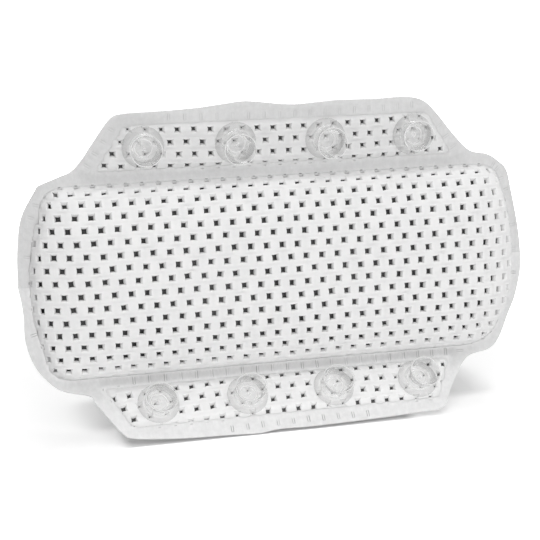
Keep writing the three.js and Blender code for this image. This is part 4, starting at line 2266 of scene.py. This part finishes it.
@dataclass
class Studio:
    """A pale floor, soft light from above and in front, and the photograph's camera."""

    azimuth: float = math.radians(-16.37)
    elevation: float = math.radians(14.53)
    distance: float = 1.044
    lens: float = 101.2
    sensor: float = 36.0
    aim_right: float = -7.4
    aim_up: float = -0.7
    floor_half: float = 6.0
    ambient: float = 0.4
    lamps: tuple[Lamp, ...] = (
        Lamp("key_softbox", (-0.4, -1.5, 1.6), (1.8, 1.2), 13.6),
        Lamp("front_softbox", (0.45, -2.1, 0.02), (2.6, 0.5), 16.5),
        Lamp("top_softbox", (0.3, 0.2, 2.0), (1.6, 1.6), 13.6),
    )

    def camera(self) -> None:
        """Adds the camera at the photograph's viewing angle."""
        turn, lift = self.azimuth, self.elevation
        back = Vector((math.sin(turn) * math.cos(lift), -math.cos(turn) * math.cos(lift), math.sin(lift)))
        right = Vector((math.cos(turn), math.sin(turn), 0.0))
        up = back.cross(right)
        data = bpy.data.cameras.new("camera")
        data.sensor_width = self.sensor
        data.lens = self.lens
        made = bpy.data.objects.new("camera", data)
        made.location = back * self.distance + (right * self.aim_right + up * self.aim_up) * MM
        made.rotation_euler = back.to_track_quat("Z", "Y").to_euler()
        bpy.context.scene.collection.objects.link(made)
        bpy.context.scene.camera = made

    def floor(self, level: float) -> None:
        """Adds the floor that the pillow stands on.

        Args:
            level: The floor's height, in metres.
        """
        half = self.floor_half
        mesh = bpy.data.meshes.new("studio_floor")
        corners = [(-half, -half, level), (half, -half, level), (half, half, level), (-half, half, level)]
        mesh.from_pydata(corners, [], [(0, 1, 2, 3)])
        mesh.materials.append(FloorFinish().make())
        made = bpy.data.objects.new("studio_floor", mesh)
        bpy.context.scene.collection.objects.link(made)
        made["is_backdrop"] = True

    def light(self) -> None:
        """Sets the plain world and adds the lamps."""
        world = bpy.data.worlds.new("studio")
        bpy.context.scene.world = world
        graph = Graph(world)
        seen = looked_at(graph)
        strength = graph.math("ADD", graph.math("MULTIPLY", seen, 1.0 - self.ambient), self.ambient)
        shader = graph.node("Background", Color=tone(1.0), Strength=strength)
        graph.finish(shader.outputs[0], "OutputWorld")
        for lamp in self.lamps:
            lamp.light()

    def build(self, level: float) -> None:
        """Builds the studio round the pillow, and leaves its colours as they are written.

        Args:
            level: The floor's height, in metres.
        """
        self.floor(level)
        self.light()
        self.camera()
        bpy.context.scene.view_settings.view_transform = "Standard"


UPPER_CUT = WeldCut(
    # Painted shade: the upper half is painted darker than the lower, its strip a little darker still.
    level=0.72,
    ridged=True,
    strip_press=0.16,
    border_press=0.0,
    mark_strength=0.55,
    nick_strength=1.6,
    outline=(
        (180.0, 0.0), (177.5, 21.0), (172.5, 46.0), (169.0, 59.5), (163.5, 65.5), (154.5, 71.5),
        (140.5, 75.0), (128.0, 86.5), (115.5, 101.0), (106.0, 110.5), (98.0, 114.0), (87.0, 115.0),
        (67.0, 114.5), (39.0, 115.0), (9.0, 113.5), (-15.5, 116.0), (-28.0, 116.5), (-56.0, 113.5),
        (-86.0, 112.5), (-106.0, 112.0),
        (-115.5, 109.0), (-126.5, 94.0), (-134.5, 82.0), (-141.5, 74.5), (-149.0, 71.5), (-160.5, 67.4),
        (-164.0, 65.8), (-166.0, 62.6), (-175.5, 45.5), (-179.0, 23.5), (-180.0, 0.0),
    ),
)
LOWER_CUT = WeldCut(
    # Painted light: the lower half is painted lighter for its tip, which faces up into the light.
    level=0.89,
    ridged=False,
    # Its sides and strip are painted back down, the strip darkest, in the crown's shade.
    strip_press=0.36,
    border_press=0.22,
    mark_strength=1.7,
    nick_strength=0.6,
    outline=(
        (180.0, 0.0), (180.0, -14.0), (176.0, -32.0), (170.5, -44.0), (162.5, -62.0), (154.5, -69.5),
        (136.5, -74.5), (119.0, -95.5), (108.5, -111.0), (88.5, -113.0), (50.5, -114.5), (11.5, -115.5),
        (-12.0, -115.0), (-26.5, -116.5), (-46.0, -115.5), (-82.5, -114.5), (-112.0, -111.5),
        (-119.5, -106.5), (-127.5, -94.0), (-134.0, -83.0), (-137.0, -77.5), (-154.0, -72.0),
        (-164.0, -64.0), (-172.0, -52.5), (-177.0, -36.0), (-177.5, -17.0), (-180.0, 0.0),
    ),
)


def main() -> None:
    """Builds the pillow's pieces in order, then the studio round them."""
    logging.basicConfig(level=logging.INFO, format="%(message)s")
    pose = Pose.from_frame()
    foam_sheet = FoamSheetFinish().make()
    # The dark foam stands in for the shade inside the holes.
    dark_foam = CoreFoamFinish().make()
    clear = ClearCupFinish().make()
    makers = [(FoamCore(pose), dark_foam)]
    for face, lattice in ((Face.FRONT, FRONT_LATTICE), (Face.BACK, BACK_LATTICE)):
        makers.append((CrownSheet(face, pose, lattice), foam_sheet))
        for flap in (UPPER_FLAP, LOWER_FLAP):
            makers.append((FlapSheet(face, pose, lattice, flap=flap), foam_sheet))
    for flap, cut in ((UPPER_FLAP, UPPER_CUT), (LOWER_FLAP, LOWER_CUT)):
        # Each half's weld is a lit or shaded copy of one finish: the lower painted lighter, the upper
        # darker.
        weld = WeldFinish(f"{flap.side.word}_melted_vinyl", cut.level).make()
        makers.append((WeldBorder(flap, pose, FRONT_LATTICE, cut), weld))
        makers.append((FlapLiner(flap, pose), dark_foam))
        for count, across in enumerate(flap.cups()):
            makers.append((SuctionCup(flap, pose, count, across), clear))
    for maker, finish in makers:
        piece = maker.dress(finish)
        LOG.info("%s: %d faces, rides on %s", piece.name, len(piece.data.polygons), body_of(piece))
    low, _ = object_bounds()
    Studio().build(low.z - FLOOR_GAP * MM)


if __name__ == "__main__":
    main()
